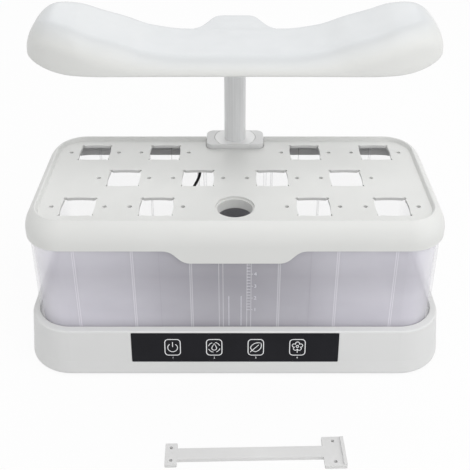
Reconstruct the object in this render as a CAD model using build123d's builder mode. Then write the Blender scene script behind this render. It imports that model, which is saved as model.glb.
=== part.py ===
"""Countertop hydroponic garden.

A twelve-pod deck lies on a clear water tank, the tank sits in a housing with touch keys, and a
gull-wing lamp slides up and down on a post behind the deck.

Millimetres. The origin is on the counter under the middle of the base, +X to the right,
+Y to the back, +Z up.
"""

import os
from math import cos, pi, radians, sin, sqrt, tan

from build123d import *

os.makedirs("parts", exist_ok=True)

# ---------------------------------------------------------------- driving dimensions
# Pods
pod_opening = 33.0           # across an opening, at the middle of its bowed sides
pod_margin_x = 21.5          # from the outer openings to the edge of the planting surface
pod_margin_y = 10.5
pod_bow = 1.2                # how far a side bows out
pod_ear_radius = 1.7         # round relief in each corner of an opening
pod_ear_inset = 0.2          # its middle, in from the corner
stake_hole_radius = 2.2
stake_reach = 25.75          # from a pod's centre to each of its two stake holes

# Deck
deck_length = 408.0
deck_width = 192.0
deck_corner = 40.0
deck_top = 170.0             # planting surface above the counter
deck_thickness = 3.0
rim_rise = 4.0               # rim above the planting surface
rim_inset = 14.0             # from the skirt's face to the edge of the planting surface
skirt_wall = 2.6
skirt_drop = 24.0            # skirt's lower edge below the planting surface
apron_drop = 38.0            # lower edge of the drop in the middle of the front
apron_flat = 83.5            # width of the straight lower edge
apron_spread = 27.0          # width of the S-curve at each side of the drop
port_radius = 17.25          # fill port
port_ledge = 1.85            # ledge round the port
port_recess = 2.5
port_sleeve = 10.0           # length of the port's sleeve below the ledge
port_wall = 2.0
skirt_curve = 19.0           # skirt is upright this far below the planting surface
gusset_thickness = 2.0
gusset_reach = 8.0           # how far the gussets' tongues reach into the tank
gusset_inset_x = 54.0        # reach of the gussets' rows, in from the deck's ends and sides
gusset_inset_y = 51.0
gusset_shares = (0.36, 0.78)  # gussets of the long sides, as shares of that place

# Tank
tank_wall = 2.6
tank_clearance = 0.4         # between the skirt and the tank
tank_rim_drop = 12.0         # tank's rim below the planting surface
tank_foot_round = 3.0
rib_width = 1.6
rib_depth = 1.3
fine_rib_width = 0.9
gauge_outer = 15.0           # gauge channel's outer ribs, from the middle
gauge_inner = 11.0
gauge_core = 6.0             # short ribs inside the channel
gauge_core_height = 41.0
gauge_depth = 2.2            # how far the gauge's ribs stand into the tank
core_depth = 1.6
edge_rib_depth = 0.8         # rib beside each end of the apron
edge_rib_beyond = 3.2
rib_top_drop = 2.0           # ribs end this far below the tank's rim
recess_rib_inner = 4.2       # fine ribs on the recess wall, from the middle
recess_rib_outer = 8.6
recess_round = 6.0
wall_rib_first = 42.0
wall_rib_margin = 11.0       # last rib, in from the start of the tank's corner
wall_rib_count = 3

# Base
base_flare_x = 9.0           # base outside the deck at each end, before the lower edge is rounded
base_flare_y = 10.75
base_corner = 48.0
base_height = 53.0
base_draft = 6.0             # degrees, the sides lean in towards the top
base_edge_round = 14.0
rim_edge_round = 1.8
base_wall = 2.6
seat_depth = 6.0             # how deep the tank sits in the base
seat_clearance = 0.6
foot_height = 1.5            # under the base
foot_radius = 9.0
foot_thickness = 3.0
cover_lip = 18.5             # width of the base's bottom lip round the cover
cover_thickness = 2.6
cover_clearance = 0.3
ledge_height = 10.0          # top of the base's bottom lip
boss_inset_x = 93.0          # four corner bosses, in from the base's ends and sides
boss_inset_y = 30.0
boss_inset_end = 29.0        # one boss near each end
foot_inset_x = 53.0
foot_inset_y = 42.0

# Control panel
panel_length = 206.5
panel_height = 34.0
panel_middle = 34.2          # height of its middle above the counter
panel_thickness = 1.4
panel_proud = 0.25
panel_corner = 1.2
key_pitch = 41.5
key_size = 16.9
board_thickness = 1.6
touch_board_height = 20.0
touch_board_inset = 8.0      # touch board inside the strip, at each end
touch_board_gap = 0.6        # behind the front wall
touch_board_drop = 1.2       # below the tray
touch_pad_inset = 2.0
touch_pad_height = 0.4

# Boards and power jack
main_board_length = 120.0
main_board_width = 56.0
main_board_inset_x = 118.0   # its middle, in from the base's end and back
main_board_inset_y = 86.75
main_board_rise = 5.0        # above the bottom cover
board_post_radius = 3.0
board_post_inset = 5.0
coil_size = 24.0             # transformer, capacitors and chip on the main board
coil_height = 14.4
capacitor_radius = 6.0
capacitor_height = 16.4
chip_height = 3.4
jack_x = 70.0
jack_z = 28.0
jack_half = 6.0
jack_length = 12.0
jack_shoulder = 1.0
jack_nose_radius = 5.2
jack_bore_radius = 2.85
jack_pin_radius = 1.0
jack_setback = 0.2

# Column and lamp post
post_radius = 11.65
post_wall = 1.2
post_inset = 14.0            # its axis in front of the deck's back
running_gap = 0.05           # radial, where the post and its foot slide
column_length = 46.0
column_ahead = 16.0          # column in front of the post's axis, and behind it
column_behind = 15.6
column_corner = 8.0
column_wall = 2.4
column_bore_radius = 13.5
cap_length = 63.0
cap_ahead = 18.4             # cap in front of the post's axis, and behind it
cap_behind = 17.3
cap_corner = 8.0
cap_height = 12.0
cap_rise = 1.0               # above the deck's rim
cap_edge_round = 1.2
notch_clearance = 0.5        # deck round the cap
recess_clearance = 1.5       # tank round the cap
flange_radius = 22.3
flange_margin = 1.8          # flat sides of the flange, in from the cap's faces
flange_thickness = 2.5
flange_gap = 0.45            # seam round the flange
bushing_length = 24.0
foot_length = 14.0
key_width = 4.0
key_depth = 2.0
key_play = 0.3
post_bottom = 20.0
lamp_travel = 110.0

# Lamp
lamp_gap = 125.0             # from the planting surface to the hood, lamp down
hood_length = 397.0
hood_width = 93.5
hood_ahead = 20.5            # hood's back edge in front of the post's axis
hood_corner_x = 80.0         # rounded ends of the outline, along and across
hood_corner_y = 45.7
hood_fullness = 2.0          # exponent of that round, 2 is an ellipse
hood_waist = 2.5             # how far the front edge draws in at the middle
hood_wall = 2.4
hood_middle = 15.6           # thickness in the middle
hood_crest = 48.0            # thickness at the crest of each wing
tab_behind = 19.5            # back of the tab behind the post's axis
tab_overlap = 18.0           # how far the tab runs under the hood
tab_step = 0.2               # tab's top below the hood's
tab_foot = 60.0              # half width inside the hood's back edge
tab_sink = 5.5               # how far that foot lies inside
tab_root = 39.9              # half width at the foot, before its round
tab_end = 21.3               # half width at its back
tab_root_round = 26.0
tab_corner = 13.6
tab_edge_round = 5.0
tip_round = 29.3             # length over which a wing rounds off at its tip
tip_start = 21.0             # degrees into that round at the very tip
tip_steps = 6
front_round_share = 0.35     # front round of a section, as a share of its thickness
front_round_least = 5.0
back_round_share = 0.11
back_round_least = 4.0
socket_wall = 4.5
socket_lip = 1.5
socket_play = 0.05
lens_thickness = 2.0
lens_recess = 1.0
lens_clearance = 0.8
led_board_drop = 3.0         # board's top below the ceiling in the middle
led_board_inset_x = 33.0     # board inside the hood, at each end and side
led_board_inset_y = 24.0
board_boss_radius = 3.0
board_boss_inset = 20.0      # outer bosses, in from the board's ends
board_boss_edge = 5.0        # bosses, in from the board's sides
lens_boss_radius = 3.5
lens_boss_inset = 21.0       # end bosses, in from the wings' tips
lens_boss_middle = 108.0     # side bosses, in from the wings' tips
lens_boss_clear = 4.5        # side bosses, outside the board's sides
lens_screw_head = 1.0
lens_screw_grip = 6.0        # screw's length above the lens
led_columns = 16
led_rows = 4
led_size = 3.5
led_height = 0.8

# Pump
pump_x = -54.0
pump_gap = 3.4               # from the pump to the tank's back wall
pump_length = 34.0
pump_depth = 34.0
pump_height = 33.0
pump_corner = 4.0
cup_radius = 5.0
cup_height = 5.0
cup_taper = 2.6
cup_inset = 7.0
chamber_radius = 11.5
chamber_depth = 14.0
rotor_radius = 6.0
rotor_length = 16.0
shaft_radius = 1.2
blade_count = 6
strainer_depth = 6.0
strainer_wall = 1.5
nozzle_radius = 6.0
nozzle_wall = 1.5
nozzle_height = 16.0
nozzle_inset_x = 4.0         # nozzle's axis beside the shaft, and behind the pump's front
nozzle_inset_y = 7.0
slot_count = 7               # slots of the strainer
slot_pitch = 4.2
slot_width = 2.0
slot_margin = 6.0
cable_radius = 1.65
plug_width = 10.0
plug_depth = 7.4
plug_height = 16.0
contact_depth = 8.3
contact_setback = 8.0        # plug and contacts in front of the column's middle
contact_pitch = 5.0
lead_behind = 9.0            # lead leaves the pump behind its middle
lead_rise = 11.0             # straight run out of the pump
lead_bend_x = 6.5            # bends of the lead, beside and above that
lead_bend_z = 24.0
lead_turn_x = 12.5
lead_turn_z = 38.0
lead_tail = 9.0              # straight run into the plug
lead_inset = 3.6

# Screws
screw_radius = 1.5
screw_head_radius = 2.8
screw_head_height = 1.6
screw_length = 12.0
boss_radius = 4.0

# Loose bar
bar_x = 18.3
bar_distance = 100.25        # its middle in front of the base
bar_turn = 1.3               # degrees, as it lies
bar_length = 163.0
bar_width = 12.5
bar_thickness = 3.5
bar_end_small = (11.0, 24.0)
bar_end_large = (20.0, 33.0)
bar_hole_radius = 1.5
bar_ridge = 1.6
bar_ridge_width = 3.0
bar_end_corner = 1.0
bar_hole_inset = 5.0

# ---------------------------------------------------------------- worked-out places
base_length = deck_length + 2 * base_flare_x
base_width = deck_width + 2 * base_flare_y
pod_pitch = (deck_length - 2 * rim_inset - pod_opening - 2 * pod_margin_x) / 4
row_pitch = (deck_width - 2 * rim_inset - pod_opening - 2 * pod_margin_y) / 2
post_y = deck_width / 2 - post_inset
column_front = post_y - column_ahead
column_back = post_y + column_behind
cap_front = post_y - cap_ahead
cap_back = post_y + cap_behind
hood_back = post_y - hood_ahead
hood_front = hood_back - hood_width
hood_y = (hood_front + hood_back) / 2
tab_back = post_y + tab_behind
tab_foot_y = hood_back - tab_sink
led_board_length = hood_length - 2 * led_board_inset_x
led_board_width = hood_width - 2 * led_board_inset_y
tank_length = deck_length - 2 * (skirt_wall + tank_clearance)
tank_width = deck_width - 2 * (skirt_wall + tank_clearance)
tank_corner = deck_corner - skirt_wall - tank_clearance
tank_bottom = base_height - seat_depth
tank_floor = tank_bottom + tank_wall
tank_rim = deck_top - tank_rim_drop
tank_inner_y = tank_width / 2 - tank_wall
deck_under = deck_top - deck_thickness
recess_half = cap_length / 2 + recess_clearance
recess_front = cap_front - recess_clearance
seat_length = tank_length + 2 * seat_clearance
seat_width = tank_width + 2 * seat_clearance
tray_under = tank_bottom - base_wall
cover_length = base_length - 2 * cover_lip
cover_width = base_width - 2 * cover_lip
cover_corner = base_corner - cover_lip + base_wall
cover_top = foot_height + cover_thickness
cap_top = deck_top + rim_rise + cap_rise
cap_bottom = cap_top - cap_height
cap_y = (cap_front + cap_back) / 2
column_y = (column_front + column_back) / 2
hood_z = deck_top + lamp_gap
post_top = hood_z + hood_middle - hood_wall
bushing_bottom = cap_top - bushing_length
key_slot = key_width + 2 * key_play
pump_y = tank_inner_y - pump_gap - pump_depth / 2
pump_bottom = tank_floor + cup_height
pump_top = pump_bottom + pump_height
pump_front = pump_y - pump_depth / 2
pump_axis_z = pump_bottom + pump_height / 2
nozzle_place = (pump_x - nozzle_inset_x, pump_front + nozzle_inset_y)
pod_centres = [(x * pod_pitch, y) for y in (-row_pitch, row_pitch) for x in (-2, -1, 1, 2)]
pod_centres += [(x * pod_pitch, 0.0) for x in (-1.5, -0.5, 0.5, 1.5)]
wall_rib_last = tank_length / 2 - tank_corner - wall_rib_margin
wall_rib_pitch = (wall_rib_last - wall_rib_first) / (wall_rib_count - 1)
wall_rib_x = [wall_rib_first + i * wall_rib_pitch for i in range(wall_rib_count)]
boss_x = base_length / 2 - boss_inset_x
boss_y = base_width / 2 - boss_inset_y
boss_end = base_length / 2 - boss_inset_end
base_boss_places = [(sx * boss_x, sy * boss_y) for sx in (-1, 1) for sy in (-1, 1)]
base_boss_places += [(-boss_end, 0.0), (boss_end, 0.0)]
foot_x = base_length / 2 - foot_inset_x
foot_y = base_width / 2 - foot_inset_y
foot_places = [(sx * foot_x, sy * foot_y) for sx in (-1, 1) for sy in (-1, 1)] + [(0.0, 0.0)]


# ---------------------------------------------------------------- helpers
def slab(length, width, corner, low, high, at=(0.0, 0.0), mode=Mode.ADD):
    """Upright block with rounded corners, between two heights."""
    with BuildSketch(Plane.XY.offset(low)) as outline:
        with Locations(at):
            RectangleRounded(length, width, corner)
    extrude(outline.sketch, amount=high - low, mode=mode)


def disc(radius, low, high, places, mode=Mode.ADD):
    """Upright cylinders between two heights."""
    with BuildSketch(Plane.XY.offset(low)) as outline:
        with Locations(*places):
            Circle(radius)
    extrude(outline.sketch, amount=high - low, mode=mode)


def block(low, high, mode=Mode.ADD):
    """Box between two opposite corners."""
    size = [b - a for a, b in zip(low, high)]
    middle = [(a + b) / 2 for a, b in zip(low, high)]
    with Locations(tuple(middle)):
        Box(*size, mode=mode)


def finish(node, name):
    """Name a finished piece and write it."""
    node.part.label = name
    export_step(node.part, f"parts/{name}.step")


# ---------------------------------------------------------------- base shell
front_lean = Plane(
    origin=(0, -(base_width / 2 - (panel_middle - foot_height) * tan(radians(base_draft))), panel_middle),
    x_dir=(1, 0, 0),
    z_dir=(0, -cos(radians(base_draft)), sin(radians(base_draft))),
)

with BuildPart() as base_shell:
    with BuildSketch(Plane.XY.offset(foot_height)):
        RectangleRounded(base_length, base_width, base_corner)
    extrude(amount=base_height - foot_height, taper=base_draft)
    fillet(base_shell.faces().sort_by(Axis.Z)[0].edges(), base_edge_round)
    fillet(base_shell.faces().sort_by(Axis.Z)[-1].edges(), rim_edge_round)
    # room for the electronics, open to the bottom cover
    with BuildSketch(Plane.XY.offset(ledge_height)):
        RectangleRounded(base_length - 3 * base_wall, base_width - 3 * base_wall, base_corner - base_wall)
    extrude(amount=tray_under - ledge_height, taper=base_draft, mode=Mode.SUBTRACT)
    slab(cover_length, cover_width, cover_corner, foot_height, ledge_height, mode=Mode.SUBTRACT)
    # seat for the tank, and the column's way through it
    slab(seat_length, seat_width, tank_corner + seat_clearance, tank_bottom, base_height, mode=Mode.SUBTRACT)
    slab(column_length + 2 * cover_clearance, column_back - column_front + 2 * cover_clearance,
         column_corner, ledge_height, base_height, at=(0, column_y), mode=Mode.SUBTRACT)
    disc(boss_radius, cover_top, tray_under, base_boss_places)
    disc(screw_radius, cover_top, cover_top + screw_length, base_boss_places, mode=Mode.SUBTRACT)
    # shallow seat for the control strip and a window for its ribbon
    with BuildSketch(front_lean) as strip_seat:
        RectangleRounded(panel_length + 2 * cover_clearance, panel_height + 2 * cover_clearance, panel_corner)
    extrude(strip_seat.sketch, amount=-(panel_thickness - panel_proud), mode=Mode.SUBTRACT)
    with BuildSketch(front_lean) as ribbon_window:
        Rectangle(key_pitch, board_thickness * 3)
    extrude(ribbon_window.sketch, amount=-4 * base_wall, mode=Mode.SUBTRACT)
    # round hole for the power jack
    with BuildSketch(Plane.XZ.offset(-base_width / 2)) as jack_hole:
        with Locations((jack_x, jack_z)):
            Circle(jack_nose_radius + cover_clearance)
    extrude(jack_hole.sketch, amount=6 * base_wall, mode=Mode.SUBTRACT)
finish(base_shell, "base_shell")

# ---------------------------------------------------------------- bottom cover, feet, screws
with BuildPart() as base_bottom_cover:
    slab(cover_length - 2 * cover_clearance, cover_width - 2 * cover_clearance, cover_corner,
         foot_height, cover_top)
    disc(foot_radius + cover_clearance, foot_height, foot_thickness, foot_places, mode=Mode.SUBTRACT)
    disc(screw_radius + cover_clearance, foot_height, cover_top, base_boss_places, mode=Mode.SUBTRACT)
    disc(screw_head_radius + cover_clearance, foot_height, foot_height + screw_head_height,
         base_boss_places, mode=Mode.SUBTRACT)
finish(base_bottom_cover, "base_bottom_cover")

with BuildPart() as rubber_feet:
    disc(foot_radius, 0, foot_thickness, foot_places)
    fillet(rubber_feet.faces().group_by(Axis.Z)[0].edges(), foot_height / 3)
finish(rubber_feet, "rubber_feet")

with BuildPart() as base_screws:
    disc(screw_head_radius, foot_height, foot_height + screw_head_height, base_boss_places)
    disc(screw_radius, foot_height, cover_top + screw_length, base_boss_places)
finish(base_screws, "base_screws")

# ---------------------------------------------------------------- control strip and boards
with BuildPart() as control_panel:
    with BuildSketch(front_lean.offset(panel_proud)):
        RectangleRounded(panel_length, panel_height, panel_corner)
    extrude(amount=-panel_thickness)
finish(control_panel, "control_panel")

front_wall = 1.5 * base_wall - (ledge_height - foot_height) * tan(radians(base_draft))
board_face = front_lean.offset(-front_wall - touch_board_gap)
with BuildPart() as touch_board:
    with BuildSketch(board_face):
        with Locations((0, tray_under - touch_board_drop - touch_board_height / 2 - panel_middle)):
            Rectangle(panel_length - 2 * touch_board_inset, touch_board_height)
    extrude(amount=-board_thickness)
    with BuildSketch(board_face):
        with Locations(*[((i - 1.5) * key_pitch, 0) for i in range(4)]):
            Rectangle(key_size - 2 * touch_pad_inset, key_size - 2 * touch_pad_inset)
    extrude(amount=touch_pad_height)
finish(touch_board, "touch_board")

main_board_x = base_length / 2 - main_board_inset_x
main_board_y = base_width / 2 - main_board_inset_y
main_board_low = cover_top + main_board_rise
main_board_top = main_board_low + board_thickness
with BuildPart() as main_board:
    slab(main_board_length, main_board_width, board_thickness, main_board_low, main_board_top,
         at=(main_board_x, main_board_y))
    with Locations((main_board_x, main_board_y, (cover_top + main_board_low) / 2)):
        with GridLocations(main_board_length - 2 * board_post_inset, main_board_width - 2 * board_post_inset, 2, 2):
            Cylinder(board_post_radius, main_board_rise)
    block((main_board_x - 1.9 * coil_size, main_board_y - 0.75 * coil_size, main_board_top),
          (main_board_x - 0.7 * coil_size, main_board_y + 0.25 * coil_size, main_board_top + coil_height))
    disc(capacitor_radius, main_board_top, main_board_top + capacitor_height,
         [(main_board_x + i * 2.7 * capacitor_radius, main_board_y + 2 * capacitor_radius) for i in (0, 1)])
    block((main_board_x + 1.1 * coil_size, main_board_y - 0.9 * coil_size, main_board_top),
          (main_board_x + 2.1 * coil_size, main_board_y, main_board_top + chip_height))
finish(main_board, "main_board")

jack_face = base_width / 2 - (jack_z - foot_height) * tan(radians(base_draft))
jack_lean = (jack_z + jack_half - ledge_height) * tan(radians(base_draft))
jack_seat = (base_width - 3 * base_wall) / 2 - jack_lean - jack_setback / 2
with BuildPart() as dc_jack:
    block((jack_x - jack_half - jack_shoulder, jack_seat - jack_length, jack_z - jack_half),
          (jack_x + jack_half + jack_shoulder, jack_seat, jack_z + jack_half))
    with BuildSketch(Plane.XZ.offset(-jack_seat)) as nose:
        with Locations((jack_x, jack_z)):
            Circle(jack_nose_radius)
    extrude(nose.sketch, amount=-(jack_face - jack_seat - jack_setback))
    with BuildSketch(Plane.XZ.offset(-jack_face)) as mouth:
        with Locations((jack_x, jack_z)):
            Circle(jack_bore_radius)
            Circle(jack_pin_radius, mode=Mode.SUBTRACT)
    extrude(mouth.sketch, amount=jack_length - 2, mode=Mode.SUBTRACT)
finish(dc_jack, "dc_jack")

# ---------------------------------------------------------------- column, cap, bushing
with BuildPart() as rear_column:
    slab(column_length, column_back - column_front, column_corner, ledge_height, cap_bottom, at=(0, column_y))
    slab(column_length - 2 * column_wall, column_back - column_front - 2 * column_wall,
         column_corner - column_wall, ledge_height, cap_bottom, at=(0, column_y), mode=Mode.SUBTRACT)
    disc(column_bore_radius + 2.0, ledge_height, cap_bottom, [(0, post_y)])
    block((-column_length / 2 + column_wall / 2, column_y - 1, ledge_height),
          (column_length / 2 - column_wall / 2, column_y + 1, cap_bottom))
    disc(column_bore_radius, ledge_height, cap_bottom, [(0, post_y)], mode=Mode.SUBTRACT)
    slab(column_length - column_wall, column_back - column_front - column_wall, column_corner - column_wall / 2,
         ledge_height, ledge_height + 2, at=(0, column_y))
    # way for the slider's key
    block((column_bore_radius, post_y - key_slot / 2 - column_wall, ledge_height),
          (column_bore_radius + key_depth + column_wall, post_y + key_slot / 2 + column_wall, cap_bottom))
    block((0, post_y - key_slot / 2, ledge_height + column_wall),
          (column_bore_radius + key_depth, post_y + key_slot / 2, bushing_bottom), mode=Mode.SUBTRACT)
finish(rear_column, "rear_column")

flange_flat = (cap_back - cap_front) - 2 * flange_margin
with BuildPart() as column_cap:
    slab(cap_length, cap_back - cap_front, cap_corner, cap_bottom, cap_top, at=(0, cap_y))
    fillet(column_cap.faces().sort_by(Axis.Z)[-1].edges(), cap_edge_round)
    with BuildSketch(Plane.XY.offset(cap_top)) as flange_seat:
        with Locations((0, post_y)):
            Circle(flange_radius + flange_gap)
        with Locations((0, cap_y)):
            Rectangle(cap_length, flange_flat + 2 * flange_gap, mode=Mode.INTERSECT)
    extrude(flange_seat.sketch, amount=-flange_thickness, mode=Mode.SUBTRACT)
    disc(column_bore_radius, cap_bottom, cap_top, [(0, post_y)], mode=Mode.SUBTRACT)
finish(column_cap, "column_cap")

with BuildPart() as post_bushing:
    with BuildSketch(Plane.XY.offset(cap_top)) as flange:
        with Locations((0, post_y)):
            Circle(flange_radius)
        with Locations((0, cap_y)):
            Rectangle(cap_length, flange_flat, mode=Mode.INTERSECT)
    extrude(flange.sketch, amount=-flange_thickness)
    disc(column_bore_radius - 0.05, bushing_bottom, cap_top - flange_thickness, [(0, post_y)])
    disc(post_radius + running_gap, bushing_bottom, cap_top, [(0, post_y)], mode=Mode.SUBTRACT)
finish(post_bushing, "post_bushing")

contact_z = tank_rim - plug_height
contact_y = column_y - contact_setback
with BuildPart() as pump_contacts:
    block((-column_length / 2 - contact_depth, contact_y - plug_width / 2, contact_z),
          (-column_length / 2, contact_y + plug_width / 2, contact_z + plug_height - 4))
    with Locations((-column_length / 2 - contact_depth, contact_y, contact_z + plug_height / 2 - 2)):
        with Locations((0, -contact_pitch / 2, 0), (0, contact_pitch / 2, 0)):
            Box(0.4, 1.6, 6)
finish(pump_contacts, "pump_contacts")


# ---------------------------------------------------------------- tank
def tank_outline(inset, low, high, mode=Mode.ADD):
    """Rounded oblong with the column's recess at its back, all faces moved in by inset."""
    with BuildSketch(Plane.XY.offset(low)) as outline:
        RectangleRounded(tank_length - 2 * inset, tank_width - 2 * inset, tank_corner - inset)
        back = tank_width
        front = recess_front - inset
        with Locations((0, (front + back) / 2)):
            Rectangle(2 * (recess_half + inset), back - front, mode=Mode.SUBTRACT)
        corners = outline.vertices().filter_by(lambda v: abs(v.X) < recess_half + inset + 1)
        fillet(corners.sort_by(Axis.Y)[:2], recess_round + inset)
    extrude(outline.sketch, amount=high - low, mode=mode)


with BuildPart() as tank:
    tank_outline(0, tank_bottom, tank_rim)
    fillet(tank.faces().sort_by(Axis.Z)[0].edges(), tank_foot_round)
    tank_outline(tank_wall, tank_floor, tank_rim, mode=Mode.SUBTRACT)
    rib_top = tank_rim - rib_top_drop
    for side in (-1, 1):
        face = side * tank_inner_y
        for x in wall_rib_x:
            for sx in (-1, 1):
                block((sx * x - rib_width / 2, min(face, face - side * rib_depth), tank_floor),
                      (sx * x + rib_width / 2, max(face, face - side * rib_depth), rib_top))
    for sx in (-1, 1):
        for x, depth, top in ((gauge_outer, gauge_depth, rib_top), (gauge_inner, gauge_depth, rib_top),
                              (gauge_core, core_depth, tank_floor + gauge_core_height),
                              (apron_flat / 2 + apron_spread + edge_rib_beyond, edge_rib_depth, rib_top)):
            block((sx * x - fine_rib_width / 2, -tank_inner_y, tank_floor),
                  (sx * x + fine_rib_width / 2, -tank_inner_y + depth, top))
        for x in (recess_rib_inner, recess_rib_outer):
            block((sx * x - fine_rib_width / 2, recess_front - tank_wall - rib_depth, tank_floor),
                  (sx * x + fine_rib_width / 2, recess_front - tank_wall, rib_top))
finish(tank, "tank")


# ---------------------------------------------------------------- pump in the tank
with BuildPart() as pump_body:
    slab(pump_length, pump_depth, pump_corner, pump_bottom, pump_top, at=(pump_x, pump_y))
    fillet(pump_body.faces().sort_by(Axis.Z)[-1].edges(), 2.0)
    with BuildSketch(Plane.XZ.offset(-pump_front)) as chamber:
        with Locations((pump_x, pump_axis_z)):
            Circle(chamber_radius)
    extrude(chamber.sketch, amount=-chamber_depth, mode=Mode.SUBTRACT)
    with BuildSketch(Plane.XZ.offset(-pump_front)) as rotor_bore:
        with Locations((pump_x, pump_axis_z)):
            Circle(rotor_radius + 0.5)
    extrude(rotor_bore.sketch, amount=-(chamber_depth + rotor_length + 0.5), mode=Mode.SUBTRACT)
    # water way up to the nozzle
    disc(nozzle_radius - nozzle_wall, pump_axis_z, pump_top, [nozzle_place], mode=Mode.SUBTRACT)
finish(pump_body, "pump_body")

with BuildPart() as pump_shaft:
    with BuildSketch(Plane.XZ.offset(-(pump_front - 2.0))) as pin:
        with Locations((pump_x, pump_axis_z)):
            Circle(shaft_radius)
    extrude(pin.sketch, amount=-(chamber_depth + rotor_length + 2.5))
finish(pump_shaft, "pump_shaft")

impeller_front = pump_front + 1.0
with BuildPart() as impeller:
    with BuildSketch(Plane.XZ.offset(-(impeller_front))) as hub:
        with Locations((pump_x, pump_axis_z)):
            Circle(rotor_radius - 2)
            with PolarLocations((chamber_radius - 1) / 2, blade_count):
                Rectangle(chamber_radius - 1, 1.2)
    extrude(hub.sketch, amount=-(chamber_depth - 3))
    with BuildSketch(Plane.XZ.offset(-(impeller_front + chamber_depth - 3))) as plate:
        with Locations((pump_x, pump_axis_z)):
            Circle(chamber_radius - 0.8)
    extrude(plate.sketch, amount=-1.2)
    with BuildSketch(Plane.XZ.offset(-(impeller_front + chamber_depth - 1.8))) as rotor:
        with Locations((pump_x, pump_axis_z)):
            Circle(rotor_radius)
    extrude(rotor.sketch, amount=-(rotor_length - 0.5))
    with BuildSketch(Plane.XZ.offset(-(impeller_front))) as shaft_bore:
        with Locations((pump_x, pump_axis_z)):
            Circle(shaft_radius + running_gap)
    extrude(shaft_bore.sketch, amount=-(chamber_depth + rotor_length), mode=Mode.SUBTRACT)
finish(impeller, "impeller")

with BuildPart() as pump_cover:
    block((pump_x - pump_length / 2 + 1, pump_front - strainer_depth, pump_bottom + 1),
          (pump_x + pump_length / 2 - 1, pump_front, pump_top - 1))
    fillet(pump_cover.faces().sort_by(Axis.Y)[0].edges(), 2.0)
    block((pump_x - pump_length / 2 + 1 + strainer_wall, pump_front - strainer_depth + strainer_wall,
           pump_bottom + 1 + strainer_wall),
          (pump_x + pump_length / 2 - 1 - strainer_wall, pump_front, pump_top - 1 - strainer_wall),
          mode=Mode.SUBTRACT)
    for i in range(slot_count):
        x = pump_x + (i - (slot_count - 1) / 2) * slot_pitch
        block((x - slot_width / 2, pump_front - strainer_depth, pump_bottom + slot_margin),
              (x + slot_width / 2, pump_front - strainer_depth + strainer_wall, pump_top - slot_margin),
              mode=Mode.SUBTRACT)
    # bridge and hub that hold the shaft's front end
    block((pump_x - pump_length / 2 + 2, pump_front - strainer_depth + 0.5, pump_axis_z - 2.5),
          (pump_x + pump_length / 2 - 2, pump_front - 2.0, pump_axis_z + 2.5))
    with BuildSketch(Plane.XZ.offset(-(pump_front - 2.0))) as hub:
        with Locations((pump_x, pump_axis_z)):
            Circle(3.0)
            Circle(shaft_radius, mode=Mode.SUBTRACT)
    extrude(hub.sketch, amount=-1.6)
finish(pump_cover, "pump_cover")

with BuildPart() as pump_outlet:
    disc(nozzle_radius, pump_top, pump_top + nozzle_height, [nozzle_place])
    disc(nozzle_radius + 1.0, pump_top, pump_top + 2.0, [nozzle_place])
    disc(nozzle_radius + 0.6, pump_top + nozzle_height - 5, pump_top + nozzle_height - 3,
         [nozzle_place])
    disc(nozzle_radius - nozzle_wall, pump_top, pump_top + nozzle_height, [nozzle_place],
         mode=Mode.SUBTRACT)
finish(pump_outlet, "pump_outlet")

cup_x = pump_length / 2 - cup_inset
cup_y = pump_depth / 2 - cup_inset
cup_places = [(pump_x + sx * cup_x, pump_y + sy * cup_y) for sx in (-1, 1) for sy in (-1, 1)]
with BuildPart() as suction_cups:
    with Locations(*[(x, y, tank_floor + cup_height / 2) for x, y in cup_places]):
        Cone(cup_radius, cup_radius - cup_taper, cup_height)
finish(suction_cups, "suction_cups")

# ---------------------------------------------------------------- pump plug and lead
plug_wall_x = -recess_half - tank_wall
plug_inner = plug_wall_x - plug_depth
plug_low = tank_rim - plug_height
with BuildPart() as pump_plug:
    block((plug_inner, contact_y - plug_width / 2, plug_low), (plug_wall_x - 0.1, contact_y + plug_width / 2, tank_rim))
    fillet(pump_plug.edges().filter_by(Axis.Z).group_by(Axis.X)[0], 1.5)
    block((plug_inner + 1.5, contact_y - plug_width / 2, tank_rim),
          (-recess_half + 1.0, contact_y + plug_width / 2, tank_rim + 2.5))
    block((-recess_half + 0.1, contact_y - plug_width / 2, tank_rim - 12),
          (-recess_half + 1.0, contact_y + plug_width / 2, tank_rim))
finish(pump_plug, "pump_plug")

cable_points = [
    (pump_x, pump_y + lead_behind, pump_top),
    (pump_x, pump_y + lead_behind, pump_top + lead_rise),
    (pump_x + lead_bend_x, pump_y + lead_behind, pump_top + lead_bend_z),
    (pump_x + lead_turn_x, contact_y + cable_radius / 2, pump_top + lead_turn_z),
    (plug_inner + lead_inset, contact_y, plug_low - lead_tail),
    (plug_inner + lead_inset, contact_y, plug_low),
]


def arc_radii(points):
    """Largest radius at each corner that its two runs allow."""
    radii = []
    for before, corner, after in zip(points, points[1:], points[2:]):
        a = Vector(*corner) - Vector(*before)
        b = Vector(*after) - Vector(*corner)
        turn = a.get_angle(b)
        radii.append(0.45 * min(a.length, b.length) / tan(radians(turn) / 2))
    return radii


cable_radii = arc_radii(cable_points)
print("lead radii", [round(r, 1) for r in cable_radii])
with BuildPart() as pump_cable:
    with BuildLine() as route:
        FilletPolyline(*cable_points, radius=cable_radii)
    with BuildSketch(Plane(origin=route.line @ 0, z_dir=route.line % 0)):
        Circle(cable_radius)
    sweep(path=route.line)
lead_length = route.wire().length
print("lead length", round(lead_length, 1), "volume share",
      round(pump_cable.part.volume / (lead_length * pi * cable_radius**2), 4))
finish(pump_cable, "pump_cable")

# ---------------------------------------------------------------- deck
half_x = deck_length / 2
half_y = deck_width / 2
skirt_low = deck_top - skirt_drop
crest = deck_top + rim_rise
curve_low = deck_top - skirt_curve


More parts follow.
